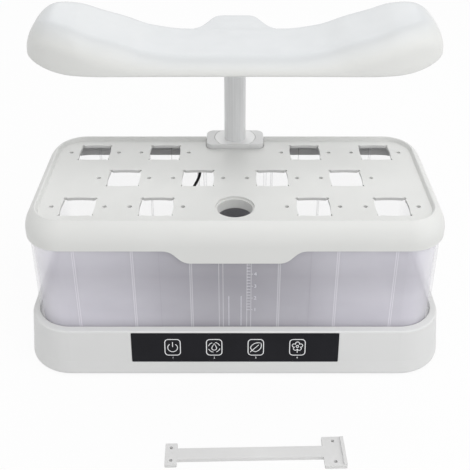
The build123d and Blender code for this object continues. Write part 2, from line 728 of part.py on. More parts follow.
def skirt_path():
    """Closed outline of the skirt's face, from the middle of the right side."""
    with BuildLine() as path:
        side = Line((half_x, 0), (half_x, half_y - deck_corner))
        corner = JernArc(side @ 1, side % 1, deck_corner, 90)
        back = Line(corner @ 1, (-half_x + deck_corner, half_y))
        corner = JernArc(back @ 1, back % 1, deck_corner, 90)
        side = Line(corner @ 1, (-half_x, -half_y + deck_corner))
        corner = JernArc(side @ 1, side % 1, deck_corner, 90)
        front = Line(corner @ 1, (half_x - deck_corner, -half_y))
        corner = JernArc(front @ 1, front % 1, deck_corner, 90)
        Line(corner @ 1, (half_x, 0))
    return path.wire()


def pod_hole():
    """Opening with bowed sides and a small round ear in each corner."""
    half = pod_opening / 2
    corner = half - pod_bow
    with BuildSketch() as hole:
        with BuildLine():
            ThreePointArc((-corner, -corner), (0, -half), (corner, -corner))
            ThreePointArc((corner, -corner), (half, 0), (corner, corner))
            ThreePointArc((corner, corner), (0, half), (-corner, corner))
            ThreePointArc((-corner, corner), (-half, 0), (-corner, -corner))
        make_face()
        with GridLocations(2 * (corner - pod_ear_inset), 2 * (corner - pod_ear_inset), 2, 2):
            Circle(pod_ear_radius)
    return hole.sketch


def gusset(plane, side, half, reach):
    """Section of a gusset under the rim; side and half place it on its skirt."""
    tank_inside = half - skirt_wall - 2 * tank_clearance - tank_wall
    root = half - rim_inset - 2.0
    points = [(root, deck_under + 0.8), (root, tank_rim - reach), (tank_inside, tank_rim - reach),
              (tank_inside, tank_rim), (half - 2.2, tank_rim), (half - 4.6, tank_rim + 6.5),
              (half - 8.0, deck_under + 0.8)]
    if reach == 0:
        del points[2:4]
    with BuildSketch(plane) as section:
        with BuildLine():
            Polyline(*[(side * u, z) for u, z in points], close=True)
        make_face()
    return section.sketch


notch_half = cap_length / 2 + notch_clearance
gusset_x = [side * share * (half_x - gusset_inset_x) for side in (-1, 1) for share in gusset_shares]
gusset_y = [side * (half_y - gusset_inset_y) for side in (-1, 0, 1)]

with BuildPart() as deck:
    # rim and skirt, one moulded section round the outline
    with BuildSketch(Plane.XZ) as rim_section:
        with BuildLine():
            outer = Polyline((half_x - rim_inset, deck_under), (half_x - rim_inset, deck_top),
                             (half_x - rim_inset + 1.8, crest - 0.6))
            top = ThreePointArc(outer @ 1, (half_x - rim_inset + 2.8, crest), (half_x - 10.2, crest - 0.2))
            bend = ThreePointArc(top @ 1, (half_x - 3.2, crest - 9.0), (half_x, curve_low))
            drop = Polyline(bend @ 1, (half_x, skirt_low), (half_x - skirt_wall, skirt_low),
                            (half_x - skirt_wall, curve_low))
            inner = ThreePointArc(drop @ 1, (half_x - 3.2 - 2.2, crest - 10.8),
                                  (half_x - rim_inset + 3.4, deck_under))
            Line(inner @ 1, outer @ 0)
        make_face()
    sweep(rim_section.sketch, path=skirt_path())
    # planting surface
    slab(deck_length - 2 * rim_inset + 2, deck_width - 2 * rim_inset + 2, deck_corner - rim_inset + 1,
         deck_under, deck_top)
    # drop in the middle of the front, in front of the gauge
    with BuildSketch(Plane.XZ.offset(half_y)) as apron:
        low = deck_top - apron_drop
        near = apron_flat / 2
        far = near + apron_spread
        with BuildLine():
            Line((-near, low), (near, low))
            Spline((near, low), (far, skirt_low), tangents=[(1, 0), (1, 0)])
            Polyline((far, skirt_low), (far, skirt_low + 2), (-far, skirt_low + 2), (-far, skirt_low))
            Spline((-far, skirt_low), (-near, low), tangents=[(1, 0), (1, 0)])
        make_face()
    extrude(apron.sketch, amount=-skirt_wall)
    # pods, stake holes, fill port
    with BuildSketch(Plane.XY.offset(deck_top)) as openings:
        with Locations(*pod_centres):
            add(pod_hole())
        with Locations(*[(x + sx * stake_reach, y) for x, y in pod_centres for sx in (-1, 1)]):
            Circle(stake_hole_radius)
    extrude(openings.sketch, amount=-deck_thickness, mode=Mode.SUBTRACT)
    port_outer = port_radius + port_ledge
    port_low = deck_top - port_recess - port_sleeve
    disc(port_outer + port_wall, port_low + port_wall, deck_top, [(0, -row_pitch)])
    disc(port_radius + port_wall, port_low, deck_top, [(0, -row_pitch)])
    disc(port_outer, deck_top - port_recess, deck_top, [(0, -row_pitch)], mode=Mode.SUBTRACT)
    disc(port_radius, port_low, deck_top, [(0, -row_pitch)], mode=Mode.SUBTRACT)
    # way round the column's cap, open to the back
    notch_length = 2 * (half_y - cap_front)
    slab(2 * notch_half, notch_length, cap_corner, skirt_low, crest + 1,
         at=(0, cap_front - notch_clearance + notch_length / 2), mode=Mode.SUBTRACT)
    # gussets that rest on the tank's rim and reach inside it
    for side in (-1, 1):
        for x in gusset_x:
            extrude(gusset(Plane.YZ.offset(x), side, half_y, gusset_reach), amount=gusset_thickness / 2, both=True)
        for y in gusset_y:
            extrude(gusset(Plane.XZ.offset(-y), side, half_x, gusset_reach), amount=gusset_thickness / 2, both=True)
    for x in (-notch_half - gusset_thickness / 2, notch_half + gusset_thickness / 2):
        extrude(gusset(Plane.YZ.offset(x), 1, half_y, 0), amount=gusset_thickness / 2, both=True)
finish(deck, "deck")

# ---------------------------------------------------------------- lamp post and slider
with BuildPart() as lamp_post:
    disc(post_radius, post_bottom + 2.0, post_top, [(0, post_y)])
    disc(post_radius - post_wall, post_bottom + 2.0, post_top, [(0, post_y)], mode=Mode.SUBTRACT)
finish(lamp_post, "lamp_post")

with BuildPart() as post_foot:
    disc(column_bore_radius - running_gap, post_bottom, post_bottom + foot_length, [(0, post_y)])
    block((0, post_y - key_width / 2, post_bottom),
          (column_bore_radius + key_depth - key_play, post_y + key_width / 2, post_bottom + foot_length))
    disc(post_radius, post_bottom + 2.0, post_bottom + foot_length, [(0, post_y)], mode=Mode.SUBTRACT)
    disc(post_radius - 4, post_bottom, post_bottom + 2.0, [(0, post_y)], mode=Mode.SUBTRACT)
finish(post_foot, "post_foot")


# ---------------------------------------------------------------- hood
# thickness of a wing as a share of its crest, against the distance in from its tip
tip_turns = [radians(tip_start + (90 - tip_start) * i / tip_steps) for i in range(tip_steps + 1)]
wing_profile = [(tip_round * (cos(radians(tip_start)) - cos(turn)), sin(turn)) for turn in tip_turns]
wing_profile += [(share * hood_length, thick) for share, thick in (
    (0.1182, 0.934), (0.1675, 0.771), (0.2291, 0.608), (0.2906, 0.423), (0.3768, 0.327))]


def wing_thickness(tip_distance):
    """Hood thickness at a distance in from a wing's tip."""
    thick = hood_middle
    for (d0, t0), (d1, t1) in zip(wing_profile, wing_profile[1:]):
        if d0 <= tip_distance <= d1:
            thick = hood_crest * (t0 + (t1 - t0) * (tip_distance - d0) / (d1 - d0))
    return thick


def hood_edges(x, inset):
    """Front and back edge of the hood's outline at x, pulled in by inset."""
    reach = hood_length / 2 - inset
    along = hood_corner_x - inset
    across = hood_corner_y - inset
    half = hood_width / 2 - inset
    into_corner = max(0.0, 1 - (reach - abs(x)) / along)
    cut = across * (1 - (1 - into_corner**hood_fullness) ** (1 / hood_fullness))
    waist = hood_waist * (1 - (x / reach) ** 2)
    return hood_y - half + cut + waist, hood_y + half - cut


def hood_station(x, inset, below):
    """Closed section of the hood at x: rounded front and back under a flat top."""
    reach = hood_length / 2 - inset
    front, back = hood_edges(x, inset)
    thick = wing_thickness(reach - abs(x)) - inset
    half = (back - front) / 2
    front_round = min(front_round_share * thick + front_round_least, 0.92 * half)
    back_round = min(back_round_share * thick + back_round_least, 0.92 * half)
    with BuildSketch(Plane.YZ.offset(x)) as section:
        with BuildLine():
            Polyline((front, hood_z), (front, hood_z - below), (back, hood_z - below), (back, hood_z))
            EllipticalCenterArc((back - back_round, hood_z), back_round, thick, start_angle=0, arc_size=90)
            Line((back - back_round, hood_z + thick), (front + front_round, hood_z + thick))
            EllipticalCenterArc((front + front_round, hood_z), front_round, thick, start_angle=90, arc_size=90)
        make_face()
    return section.sketch


def hood_loft(inset, below, mode=Mode.ADD):
    """Whole hood, or the room inside it, through stations from tip to tip."""
    reach = hood_length / 2 - inset
    left = [-(reach - d) for d, share in wing_profile]
    stations = left + [0.0] + [-x for x in reversed(left)]
    loft(sections=[hood_station(x, inset, below) for x in stations], mode=mode)


led_top = hood_z + hood_middle - hood_wall - led_board_drop
lens_bottom = hood_z + lens_recess
lens_top = lens_bottom + lens_thickness
board_boss_x = led_board_length / 2 - board_boss_inset
board_boss_y = led_board_width / 2 - board_boss_edge
board_boss_places = [(share * board_boss_x, hood_y + side * board_boss_y)
                     for share in (-1.0, -0.4, 0.4, 1.0) for side in (-1, 1)]
lens_boss_x = hood_length / 2 - lens_boss_middle
lens_boss_y = led_board_width / 2 + lens_boss_clear
lens_boss_places = [(side * (hood_length / 2 - lens_boss_inset), hood_y) for side in (-1, 1)]
lens_boss_places += [(sx * lens_boss_x, hood_y + sy * lens_boss_y) for sx in (-1, 1) for sy in (-1, 1)]


# bosses for the board and the lens end in the middle of the hood's wall
with BuildPart() as hood_bosses:
    disc(board_boss_radius, led_top, hood_z + hood_crest, board_boss_places)
    disc(lens_boss_radius, lens_top, hood_z + hood_crest, lens_boss_places)
    hood_loft(hood_wall / 2, 1.0, mode=Mode.INTERSECT)

with BuildPart() as hood_shell:
    with BuildSketch(Plane.XY.offset(hood_z)) as tab:
        with BuildLine():
            Polyline((-tab_foot, hood_back - tab_overlap), (tab_foot, hood_back - tab_overlap),
                     (tab_foot, tab_foot_y), (tab_root, tab_foot_y), (tab_end, tab_back),
                     (-tab_end, tab_back), (-tab_root, tab_foot_y), (-tab_foot, tab_foot_y), close=True)
        make_face()
        fillet(tab.vertices().group_by(Axis.Y)[-1], tab_corner)
        fillet(tab.vertices().filter_by(lambda v: abs(abs(v.X) - tab_root) < 0.01), tab_root_round)
    extrude(amount=hood_middle - tab_step)
    fillet(hood_shell.faces().sort_by(Axis.Z)[-1].edges(), tab_edge_round)
    hood_loft(0, 0.01)
    hood_loft(hood_wall, 1.0, mode=Mode.SUBTRACT)
    disc(post_radius + socket_wall + socket_play, hood_z, post_top, [(0, post_y)], mode=Mode.SUBTRACT)
    add(hood_bosses.part)
    disc(screw_radius, lens_top, lens_top + lens_screw_grip + 1.0, lens_boss_places, mode=Mode.SUBTRACT)
finish(hood_shell, "hood_shell")

with BuildPart() as hood_socket:
    disc(post_radius + socket_wall, hood_z, post_top, [(0, post_y)])
    disc(post_radius + socket_wall + socket_lip, hood_z - socket_lip, hood_z, [(0, post_y)])
    disc(post_radius, hood_z - socket_lip, post_top, [(0, post_y)], mode=Mode.SUBTRACT)
finish(hood_socket, "hood_socket")

with BuildPart() as hood_lens:
    block((-hood_length / 2, hood_front, lens_bottom), (hood_length / 2, hood_back, lens_top))
    hood_loft(hood_wall + lens_clearance, 1.0, mode=Mode.INTERSECT)
    disc(screw_radius + 0.2, lens_bottom, lens_top, lens_boss_places, mode=Mode.SUBTRACT)
finish(hood_lens, "hood_lens")

with BuildPart() as hood_screws:
    disc(screw_head_radius, lens_bottom - lens_screw_head, lens_bottom, lens_boss_places)
    disc(screw_radius, lens_bottom - lens_screw_head, lens_top + lens_screw_grip, lens_boss_places)
finish(hood_screws, "hood_screws")

with BuildPart() as led_board:
    slab(led_board_length, led_board_width, 3, led_top - board_thickness, led_top, at=(0, hood_y))
finish(led_board, "led_board")

with BuildPart() as led_chips:
    with Locations((0, hood_y, led_top - board_thickness - led_height / 2)):
        with GridLocations(led_board_length / led_columns, led_board_width / led_rows, led_columns, led_rows):
            Box(led_size, led_size, led_height)
finish(led_chips, "led_chips")

# ---------------------------------------------------------------- loose bar
bar_y = -base_width / 2 - bar_distance
bar_plane = Plane(origin=(bar_x, bar_y, 0), x_dir=(cos(radians(bar_turn)), sin(radians(bar_turn)), 0))
small_x = -bar_length / 2 + bar_end_small[0] / 2
large_x = bar_length / 2 - bar_end_large[0] / 2
with BuildPart() as support_bar:
    with BuildSketch(bar_plane) as bar_outline:
        Rectangle(bar_length - 2, bar_width)
        with Locations((small_x, 0)):
            RectangleRounded(*bar_end_small, bar_end_corner)
        with Locations((large_x, 0)):
            RectangleRounded(*bar_end_large, bar_end_corner)
        for x, width in ((small_x, bar_end_small[1]), (large_x, bar_end_large[1])):
            with Locations((x, width / 2 - bar_hole_inset), (x, -width / 2 + bar_hole_inset)):
                Circle(bar_hole_radius, mode=Mode.SUBTRACT)
    extrude(bar_outline.sketch, amount=bar_thickness)
    with BuildSketch(bar_plane.offset(bar_thickness)) as ridge:
        with Locations(((bar_length - bar_ridge_width) / 2, 0)):
            Rectangle(bar_ridge_width, bar_end_large[1] - 2 * bar_end_corner)
    extrude(ridge.sketch, amount=bar_ridge)
finish(support_bar, "support_bar")
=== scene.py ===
import math

import bmesh
import bpy
from bpy.props import FloatProperty, FloatVectorProperty, IntProperty, PointerProperty
from mathutils import Matrix, Vector


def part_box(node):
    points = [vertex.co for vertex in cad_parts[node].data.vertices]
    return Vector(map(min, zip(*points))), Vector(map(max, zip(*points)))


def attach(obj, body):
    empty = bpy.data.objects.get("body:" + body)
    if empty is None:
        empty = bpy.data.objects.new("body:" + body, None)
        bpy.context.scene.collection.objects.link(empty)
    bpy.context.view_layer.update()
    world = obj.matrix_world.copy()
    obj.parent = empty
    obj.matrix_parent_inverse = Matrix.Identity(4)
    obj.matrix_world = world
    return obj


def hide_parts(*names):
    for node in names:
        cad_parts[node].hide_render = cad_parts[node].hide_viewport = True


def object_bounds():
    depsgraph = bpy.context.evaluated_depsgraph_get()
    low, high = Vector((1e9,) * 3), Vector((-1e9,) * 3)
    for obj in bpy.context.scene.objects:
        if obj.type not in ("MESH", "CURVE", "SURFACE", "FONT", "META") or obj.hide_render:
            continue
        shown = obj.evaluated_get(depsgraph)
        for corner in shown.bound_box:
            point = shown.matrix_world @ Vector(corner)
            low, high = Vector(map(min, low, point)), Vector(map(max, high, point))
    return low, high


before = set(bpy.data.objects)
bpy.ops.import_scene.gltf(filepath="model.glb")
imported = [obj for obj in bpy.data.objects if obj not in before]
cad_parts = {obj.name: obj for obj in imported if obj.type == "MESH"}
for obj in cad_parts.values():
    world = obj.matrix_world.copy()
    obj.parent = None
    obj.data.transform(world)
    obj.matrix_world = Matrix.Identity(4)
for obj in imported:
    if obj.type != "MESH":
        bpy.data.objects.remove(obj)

bl_info = {
    "name": "Countertop Garden",
    "version": (1, 0, 0),
    "blender": (4, 5, 0),
    "location": "3D View > Sidebar > Garden",
    "description": "Dresses the twelve-pod countertop garden: mouldings, tank, lamp, strip and stage",
    "category": "Object",
}

CAD_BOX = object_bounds()
MM = 0.001

# Boxes of the nodes that the hood, the strip's marks and the gauge are set against.
HOOD_LOW, HOOD_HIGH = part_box("hood_shell")
STRIP_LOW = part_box("control_panel")[0]
TANK_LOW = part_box("tank")[0]


# ------------------------------------------------------------------ settings
class GardenColours(bpy.types.PropertyGroup):
    """Colours of the mouldings, the strip, the tank and the metal."""

    def shade(label, note, default):
        return FloatVectorProperty(name=label, description=note, subtype="COLOR", size=3,
                                   min=0.0, max=1.0, default=default)

    deck: shade("Deck", "Warm white of the planting deck", (0.668, 0.672, 0.658))
    housing: shade("Housing", "Warm white of the base, column and cap", (0.665, 0.668, 0.665))
    # the hood's two colours are painted light and shade: its top is given a cooler, darker white and its
    # upright faces a warmer, lighter one
    hood: shade("Hood", "Cooler white of the lamp hood's top", (0.575, 0.592, 0.605))
    hood_face: shade("Hood face", "Warmer white of the hood's upright faces", (0.680, 0.684, 0.668))
    tank: shade("Tank", "Faint violet grey of the clear tank", (0.840, 0.830, 0.880))
    # the front wall's colour is darker than the tank's as painted shade of the shaded inside seen through it
    haze: shade("Haze", "Denser violet grey of the tank's front wall", (0.670, 0.655, 0.720))
    strip: shade("Strip", "Gloss black of the touch strip", (0.012, 0.012, 0.015))
    ink: shade("Ink", "Pale ink of the key marks", (0.860, 0.865, 0.880))
    post: shade("Post", "Satin grey of the lamp post", (0.745, 0.750, 0.755))
    bar: shade("Bar", "White of the loose bar", (0.690, 0.690, 0.685))
    pump: shade("Pump", "Black of the pump and its lead", (0.020, 0.020, 0.022))
    board: shade("Board", "Green of the circuit boards", (0.020, 0.130, 0.055))


class GardenSizes(bpy.types.PropertyGroup):
    """Sizes of the hood, of the base's lower edge and of the marks."""

    def size(label, note, default):
        return FloatProperty(name=label, description=note, unit="LENGTH", subtype="DISTANCE",
                             min=0.0, default=default)

    hood_back: size("Hood back", "Back edge of the hood, from the middle of the base", 61.5 * MM)
    hood_width: size("Hood width", "From the hood's front to its back edge", 95.5 * MM)
    hood_middle: size("Hood middle", "Thickness in the hood's middle", 15.6 * MM)
    hood_crest: size("Hood crest", "Thickness at the crest of each wing", 48 * MM)
    hood_along: size("End length", "Length of the rounded ends, seen from above", 80 * MM)
    hood_across: size("End width", "Width of the rounded ends, seen from above", 45.7 * MM)
    hood_waist: size("Hood waist", "How far the front edge draws in at the middle", 2.5 * MM)
    front_round: size("Front round", "How far back the hood's front round reaches", 19 * MM)
    front_drop: size("Front drop", "How far down the hood's front round reaches", 24 * MM)
    hood_bow: FloatProperty(name="Bow", description="Fall of a wing's top towards the front, as a share",
                            min=0.0, default=0.16)
    hood_wall: size("Hood wall", "Wall of the hood", 2.4 * MM)
    hood_tip: size("Hood tip", "Length over which a wing rounds off at its tip", 29.3 * MM)
    tip_lift: size("Tip lift", "How far a wing's lower edge rises at its tip", 10 * MM)
    tip_lift_along: size("Tip lift length", "Length of a wing over which its lower edge rises", 50 * MM)
    hood_lip: size("Hood lip", "Small round of the hood's lower edge", 1.5 * MM)
    tab_root: size("Tab root", "Half width of the tab at its foot, before its round", 39.9 * MM)
    tab_sink: size("Tab sink", "How far that foot lies inside the hood's back edge", 5.5 * MM)
    tab_hollow: size("Tab hollow", "Radius of the hollow at each side of the foot", 26 * MM)
    tab_end: size("Tab end", "Half width at the tab's back", 21.3 * MM)
    tab_corner: size("Tab corner", "Radius of the tab's back corners", 13.6 * MM)
    tab_round: size("Tab edge", "Radius of the tab's upper edge", 5 * MM)
    base_half_x: size("Base half length", "From the middle to the base's end, at its foot", 213 * MM)
    base_half_y: size("Base half width", "From the middle to the base's front, at its foot", 106.75 * MM)
    base_corner: size("Base corner", "Radius of the base's corners at its foot", 48 * MM)
    base_foot: size("Base foot", "Height of the base above the counter", 1.48 * MM)
    base_edge: size("Base edge", "Radius of the base's lower edge", 3.8 * MM)
    edge_spread: size("Edge spread", "How far the lower edge's front stands out at its foot", 0.8 * MM)
    edge_top: size("Edge top", "Height where the lower edge's band meets the base's side", 17.2 * MM)
    base_draft: FloatProperty(name="Base draft", description="Lean of the base's sides", subtype="ANGLE",
                              default=math.radians(6))
    key_pitch: size("Key pitch", "From one touch key to the next", 41.5 * MM)
    key_width: size("Key width", "Width of a touch key's frame", 15.4 * MM)
    key_height: size("Key height", "Height of a touch key's frame", 18.8 * MM)
    key_rise: size("Key rise", "Height of the keys above the strip's middle", 0.6 * MM)
    stroke: size("Stroke", "Width of the drawn strokes", 0.8 * MM)
    ink_depth: size("Ink depth", "Thickness of the printed ink", 0.05 * MM)
    gauge_low: size("Gauge low", "Height of the lowest numeral above the counter", 74 * MM)
    gauge_pitch: size("Gauge pitch", "From one numeral to the next", 14.5 * MM)
    gauge_x: size("Gauge place", "Middle of the numerals, from the tank's middle", 19.6 * MM)
    gauge_numeral: size("Numeral", "Height of the gauge numerals", 4.2 * MM)
    lead: size("Lead", "Thickness of the pump's lead", 3.3 * MM)
    gauge_steps: IntProperty(name="Steps", description="Numerals on the gauge", default=4, min=1)


class GardenStudio(bpy.types.PropertyGroup):
    """Camera, lamps and floor."""

    def length(label, note, default):
        return FloatProperty(name=label, description=note, unit="LENGTH", default=default)

    def power(label, note, default):
        return FloatProperty(name=label, description=note, unit="POWER", min=0.0, default=default)

    camera_back: length("Camera distance", "Camera in front of the garden's middle", 0.707)
    camera_height: length("Camera height", "Camera above the counter", 0.582)
    camera_tilt: FloatProperty(name="Camera tilt", description="How far the camera looks down",
                               subtype="ANGLE", default=math.radians(29.3))
    camera_lens: FloatProperty(name="Lens", description="Focal length on a 36 mm sensor", default=60.96)
    camera_shift: FloatProperty(name="Shift", description="Upright shift of the frame", default=-0.149)
    top_power: power("Top lamp", "Power of the soft lamp above the front", 16.6)
    left_power: power("Left lamp", "Power of the soft lamp at the left", 1.2)
    right_power: power("Right lamp", "Power of the soft lamp at the right", 6.5)
    back_power: power("Back lamp", "Power of the soft lamp above the back", 4.8)
    sky: FloatProperty(name="Room light", description="Strength of the even light of the room", default=0.62)
    floor: FloatVectorProperty(name="Floor", description="Pale floor", subtype="COLOR", size=3,
                               default=(0.76, 0.76, 0.76))


# ------------------------------------------------------------------ finishes
# values between which a noise field mostly stays
CLOUD_LOW, CLOUD_HIGH = 0.3, 0.7
# how much stronger a rib's painted highlight or painted shade shows than its density
RIB_COLOUR = 1.6
# front wall of the tank, where its haze and its painted shade lie: where they start and are full, its half
# length, its foot and its rim
HAZE_START, HAZE_FULL, HAZE_REACH, HAZE_FOOT, HAZE_RIM = -66 * MM, -92 * MM, 204 * MM, 45 * MM, 165 * MM


def feed(made, socket, value):
    """Link a field to a socket, or set the socket to a plain value."""
    if isinstance(value, bpy.types.NodeSocket):
        made.node_tree.links.new(value, socket)
    else:
        socket.default_value = value


def add_node(made, kind, inputs, **settings):
    """New shader node with its settings; each input takes a field or a plain value."""
    node = made.node_tree.nodes.new("ShaderNode" + kind)
    for setting, value in settings.items():
        setattr(node, setting, value)
    for socket, value in inputs.items():
        feed(made, node.inputs[socket], value)
    return node


def shader_inputs(made):
    """Sockets of a material's shader."""
    return made.node_tree.nodes["Principled BSDF"].inputs


def start_finish(name, colour, roughness, **sockets):
    """New material with its shader set and the object's own coordinates at hand."""
    made = bpy.data.materials.new(name)
    made.use_nodes = True
    shader = shader_inputs(made)
    shader["Base Color"].default_value = (*colour, 1.0)
    shader["Roughness"].default_value = roughness
    for socket, value in sockets.items():
        shader[socket.replace("_", " ")].default_value = value
    add_node(made, "TexCoord", {}, name="place")
    return made


def place_field(made, source="Object"):
    """The object's coordinates, or with Normal the way that its surface faces."""
    return made.node_tree.nodes["place"].outputs[source]


def noise(made, scale, detail=3.0, stretch=None):
    """Noise over the object, in turns per metre; stretch squeezes it along an axis."""
    source = place_field(made)
    if stretch:
        source = add_node(made, "Mapping", {"Vector": source, "Scale": stretch}).outputs["Vector"]
    return add_node(made, "TexNoise", {"Vector": source, "Scale": scale, "Detail": detail}).outputs["Fac"]


def reckon(made, step, first, second=0.0):
    """One step of arithmetic between fields or numbers."""
    return add_node(made, "Math", {0: first, 1: second}, operation=step).outputs[0]


def span_field(made, field, start, end, low=0.0, high=1.0):
    """Field that runs from low to high while another runs from start to end."""
    span = add_node(made, "MapRange", {"Value": field, "From Min": start, "From Max": end,
                                       "To Min": low, "To Max": high})
    return span.outputs["Result"]


def axis_part(made, source, axis):
    """One axis of the object's coordinates or of the way that its surface faces."""
    return add_node(made, "SeparateXYZ", {0: place_field(made, source)}).outputs[axis]


def axis_field(made, axis, low, high, mirror=False):
    """Field that runs from 0 to 1 between two places along an axis of the object."""
    field = axis_part(made, "Object", axis)
    return span_field(made, reckon(made, "ABSOLUTE", field) if mirror else field, low, high)


def colour_ramp(made, field, stops, steps="LINEAR"):
    """Colours and densities over a field; each stop is (place, red, green, blue, density)."""
    ramp = add_node(made, "ValToRGB", {"Fac": field})
    ramp.color_ramp.interpolation = steps
    elements = ramp.color_ramp.elements
    elements.remove(elements[1])
    elements[0].position, elements[0].color = stops[0][0], stops[0][1:]
    for place, *colour in stops[1:]:
        elements.new(place).color = colour
    return ramp.outputs["Color"], ramp.outputs["Alpha"]


def blend_fields(made, share, first, second, form="RGBA", kind="MIX"):
    """Blend of two colours or two numbers, each a field."""
    mix = add_node(made, "Mix", {}, data_type=form, blend_type=kind)
    sockets = [socket for socket in mix.inputs if socket.enabled]
    for socket, value in zip(sockets, (share, first, second)):
        feed(made, socket, value)
    return [socket for socket in mix.outputs if socket.enabled][0]


def lay_over(made, socket, share, field, form="RGBA"):
    """Blend a field over what already feeds one of the shader's sockets."""
    target = shader_inputs(made)[socket]
    feed(made, target, blend_fields(made, share, target.links[0].from_socket, field, form))


def vary_colour(made, field, dark, light):
    """Colour that wanders between two near shades."""
    tone, _ = colour_ramp(made, field, [(CLOUD_LOW, *dark, 1.0), (CLOUD_HIGH, *light, 1.0)])
    feed(made, shader_inputs(made)["Base Color"], tone)


def vary_sheen(made, field, low, high):
    """Roughness that wanders between two numbers."""
    feed(made, shader_inputs(made)["Roughness"], span_field(made, field, CLOUD_LOW, CLOUD_HIGH, low, high))


def raise_grain(made, field, depth):
    """Fine relief from a field, depth in metres."""
    bump = add_node(made, "Bump", {"Height": field, "Distance": depth, "Strength": 1.0})
    feed(made, shader_inputs(made)["Normal"], bump.outputs["Normal"])


def shades(colour, spread):
    """A darker and a lighter neighbour of a colour."""
    return [tuple(min(1.0, c * (1 + side * spread)) for c in colour) for side in (-1, 1)]


def moulded_plastic(name, colour, roughness, grain=0.00003, spread=0.02):
    """Injection-moulded plastic: fine spark grain, faint flow shades, uneven sheen."""
    made = start_finish(name, colour, roughness, Specular_IOR_Level=0.4)
    vary_colour(made, noise(made, 9.0), *shades(colour, spread))
    vary_sheen(made, noise(made, 60.0), roughness - 0.05, roughness + 0.06)
    raise_grain(made, noise(made, 1900.0, detail=2.0), grain)
    return made


def facing_shaded_plastic(name, side, top, roughness, grain):
    """Moulded plastic with painted light and shade: it goes from a warmer, lighter shade on upright faces to
    a cooler, darker one on top, by the way each faces.
    """
    made = moulded_plastic(name, top, roughness, grain, 0.0)
    flow = 0.15
    # painted shade: the more a face looks up, the more it takes the darker top colour; a little noise blurs
    # the change
    upward = reckon(made, "MULTIPLY", axis_part(made, "Normal", "Z"), 1 - flow)
    field = reckon(made, "ADD", upward, reckon(made, "MULTIPLY", noise(made, 9.0), flow))
    tone, _ = colour_ramp(made, field, [(0.35, *side, 1.0), (0.95, *top, 1.0)])
    feed(made, shader_inputs(made)["Base Color"], tone)
    return made


def clear_plastic(name, colour, alpha, roughness):
    """Clear moulded plastic: a thin haze face on, denser towards its edges, with faint flow waves."""
    made = start_finish(name, colour, roughness, Specular_IOR_Level=0.5)
    made.surface_render_method = "BLENDED"
    slant = add_node(made, "LayerWeight", {"Blend": 0.5}).outputs["Facing"]
    feed(made, shader_inputs(made)["Alpha"], span_field(made, slant, 0.3, 1.0, alpha, min(1.0, 4 * alpha)))
    vary_colour(made, noise(made, 7.0), *shades(colour, 0.05))
    raise_grain(made, noise(made, 90.0, stretch=(1.0, 1.0, 0.15)), 0.0001)
    return made


def frost_and_shade_front(made, shade_across, upright, middle, ends):
    """Denser haze on the front wall with painted shade across and up: darker in the middle, lighter as
    painted light towards the ends, darker at the foot, in a band part way up and under the rim; the round
    corners stay clearer.
    """
    front = axis_field(made, "Y", HAZE_START, HAZE_FULL)
    across = axis_field(made, "X", 0.0, HAZE_REACH, mirror=True)
    tone, _ = colour_ramp(made, across, shade_across)
    up, _ = colour_ramp(made, axis_field(made, "Z", HAZE_FOOT, HAZE_RIM), upright)
    cloud, _ = colour_ramp(made, noise(made, 16.0, stretch=(0.6, 1.0, 1.6)),
                           [(CLOUD_LOW, 0.90, 0.90, 0.91, 1.0), (CLOUD_HIGH, 1.0, 1.0, 1.0, 1.0)])
    for layer in (up, cloud):
        tone = blend_fields(made, 1.0, tone, layer, kind="MULTIPLY")
    lay_over(made, "Base Color", front, tone)
    density = reckon(made, "ADD", reckon(made, "MULTIPLY", across, ends - middle), middle)
    lay_over(made, "Alpha", front, density, form="FLOAT")


def paint_rib_light_and_shade(made, bands):
    """Paint light lines where the moulded ribs of the long walls stand as painted highlight, and dark lines
    as painted shade; each band is (middle, half width, colour, density).
    """
    reach = max(band[0] for band in bands) * 1.1
    stops = [(0.0, 1.0, 1.0, 1.0, 0.0)]
    for place, half, colour, density in sorted(bands):
        stops += [((place - half) / reach, *colour, density), ((place + half) / reach, *colour, 0.0)]
    colour, density = colour_ramp(made, axis_field(made, "X", 0.0, reach, mirror=True), stops, "CONSTANT")
    density = reckon(made, "MULTIPLY", density, reckon(made, "ABSOLUTE", axis_part(made, "Normal", "Y")))
    lay_over(made, "Base Color", reckon(made, "MULTIPLY", density, RIB_COLOUR), colour)
    alpha = shader_inputs(made)["Alpha"]
    full = reckon(made, "ADD", alpha.links[0].from_socket, density)
    feed(made, alpha, reckon(made, "MINIMUM", full, 1.0))


def gloss_strip(name, colour):
    """Gloss film with very fine wiping marks."""
    made = start_finish(name, colour, 0.16, Specular_IOR_Level=0.1)
    vary_sheen(made, noise(made, 400.0, stretch=(0.15, 1.0, 1.0)), 0.12, 0.24)
    vary_colour(made, noise(made, 25.0), *shades(colour, 0.12))
    raise_grain(made, noise(made, 35.0), 0.00002)
    return made


def satin_metal(name, colour, stretch, roughness, metallic=0.9):
    """Drawn or turned metal with fine lines along its length."""
    made = start_finish(name, colour, roughness, Metallic=metallic)
    lines = noise(made, 900.0, detail=4.0, stretch=stretch)
    vary_colour(made, noise(made, 500.0, stretch=stretch), *shades(colour, 0.05))
    vary_sheen(made, lines, roughness - 0.07, roughness + 0.09)
    raise_grain(made, lines, 0.00002)
    return made


def soft_rubber(name, colour):
    """Rubber with a dull, dusty face."""
    made = start_finish(name, colour, 0.75)
    vary_colour(made, noise(made, 120.0), *shades(colour, 0.3))
    vary_sheen(made, noise(made, 80.0), 0.65, 0.85)
    raise_grain(made, noise(made, 1500.0), 0.00004)
    return made


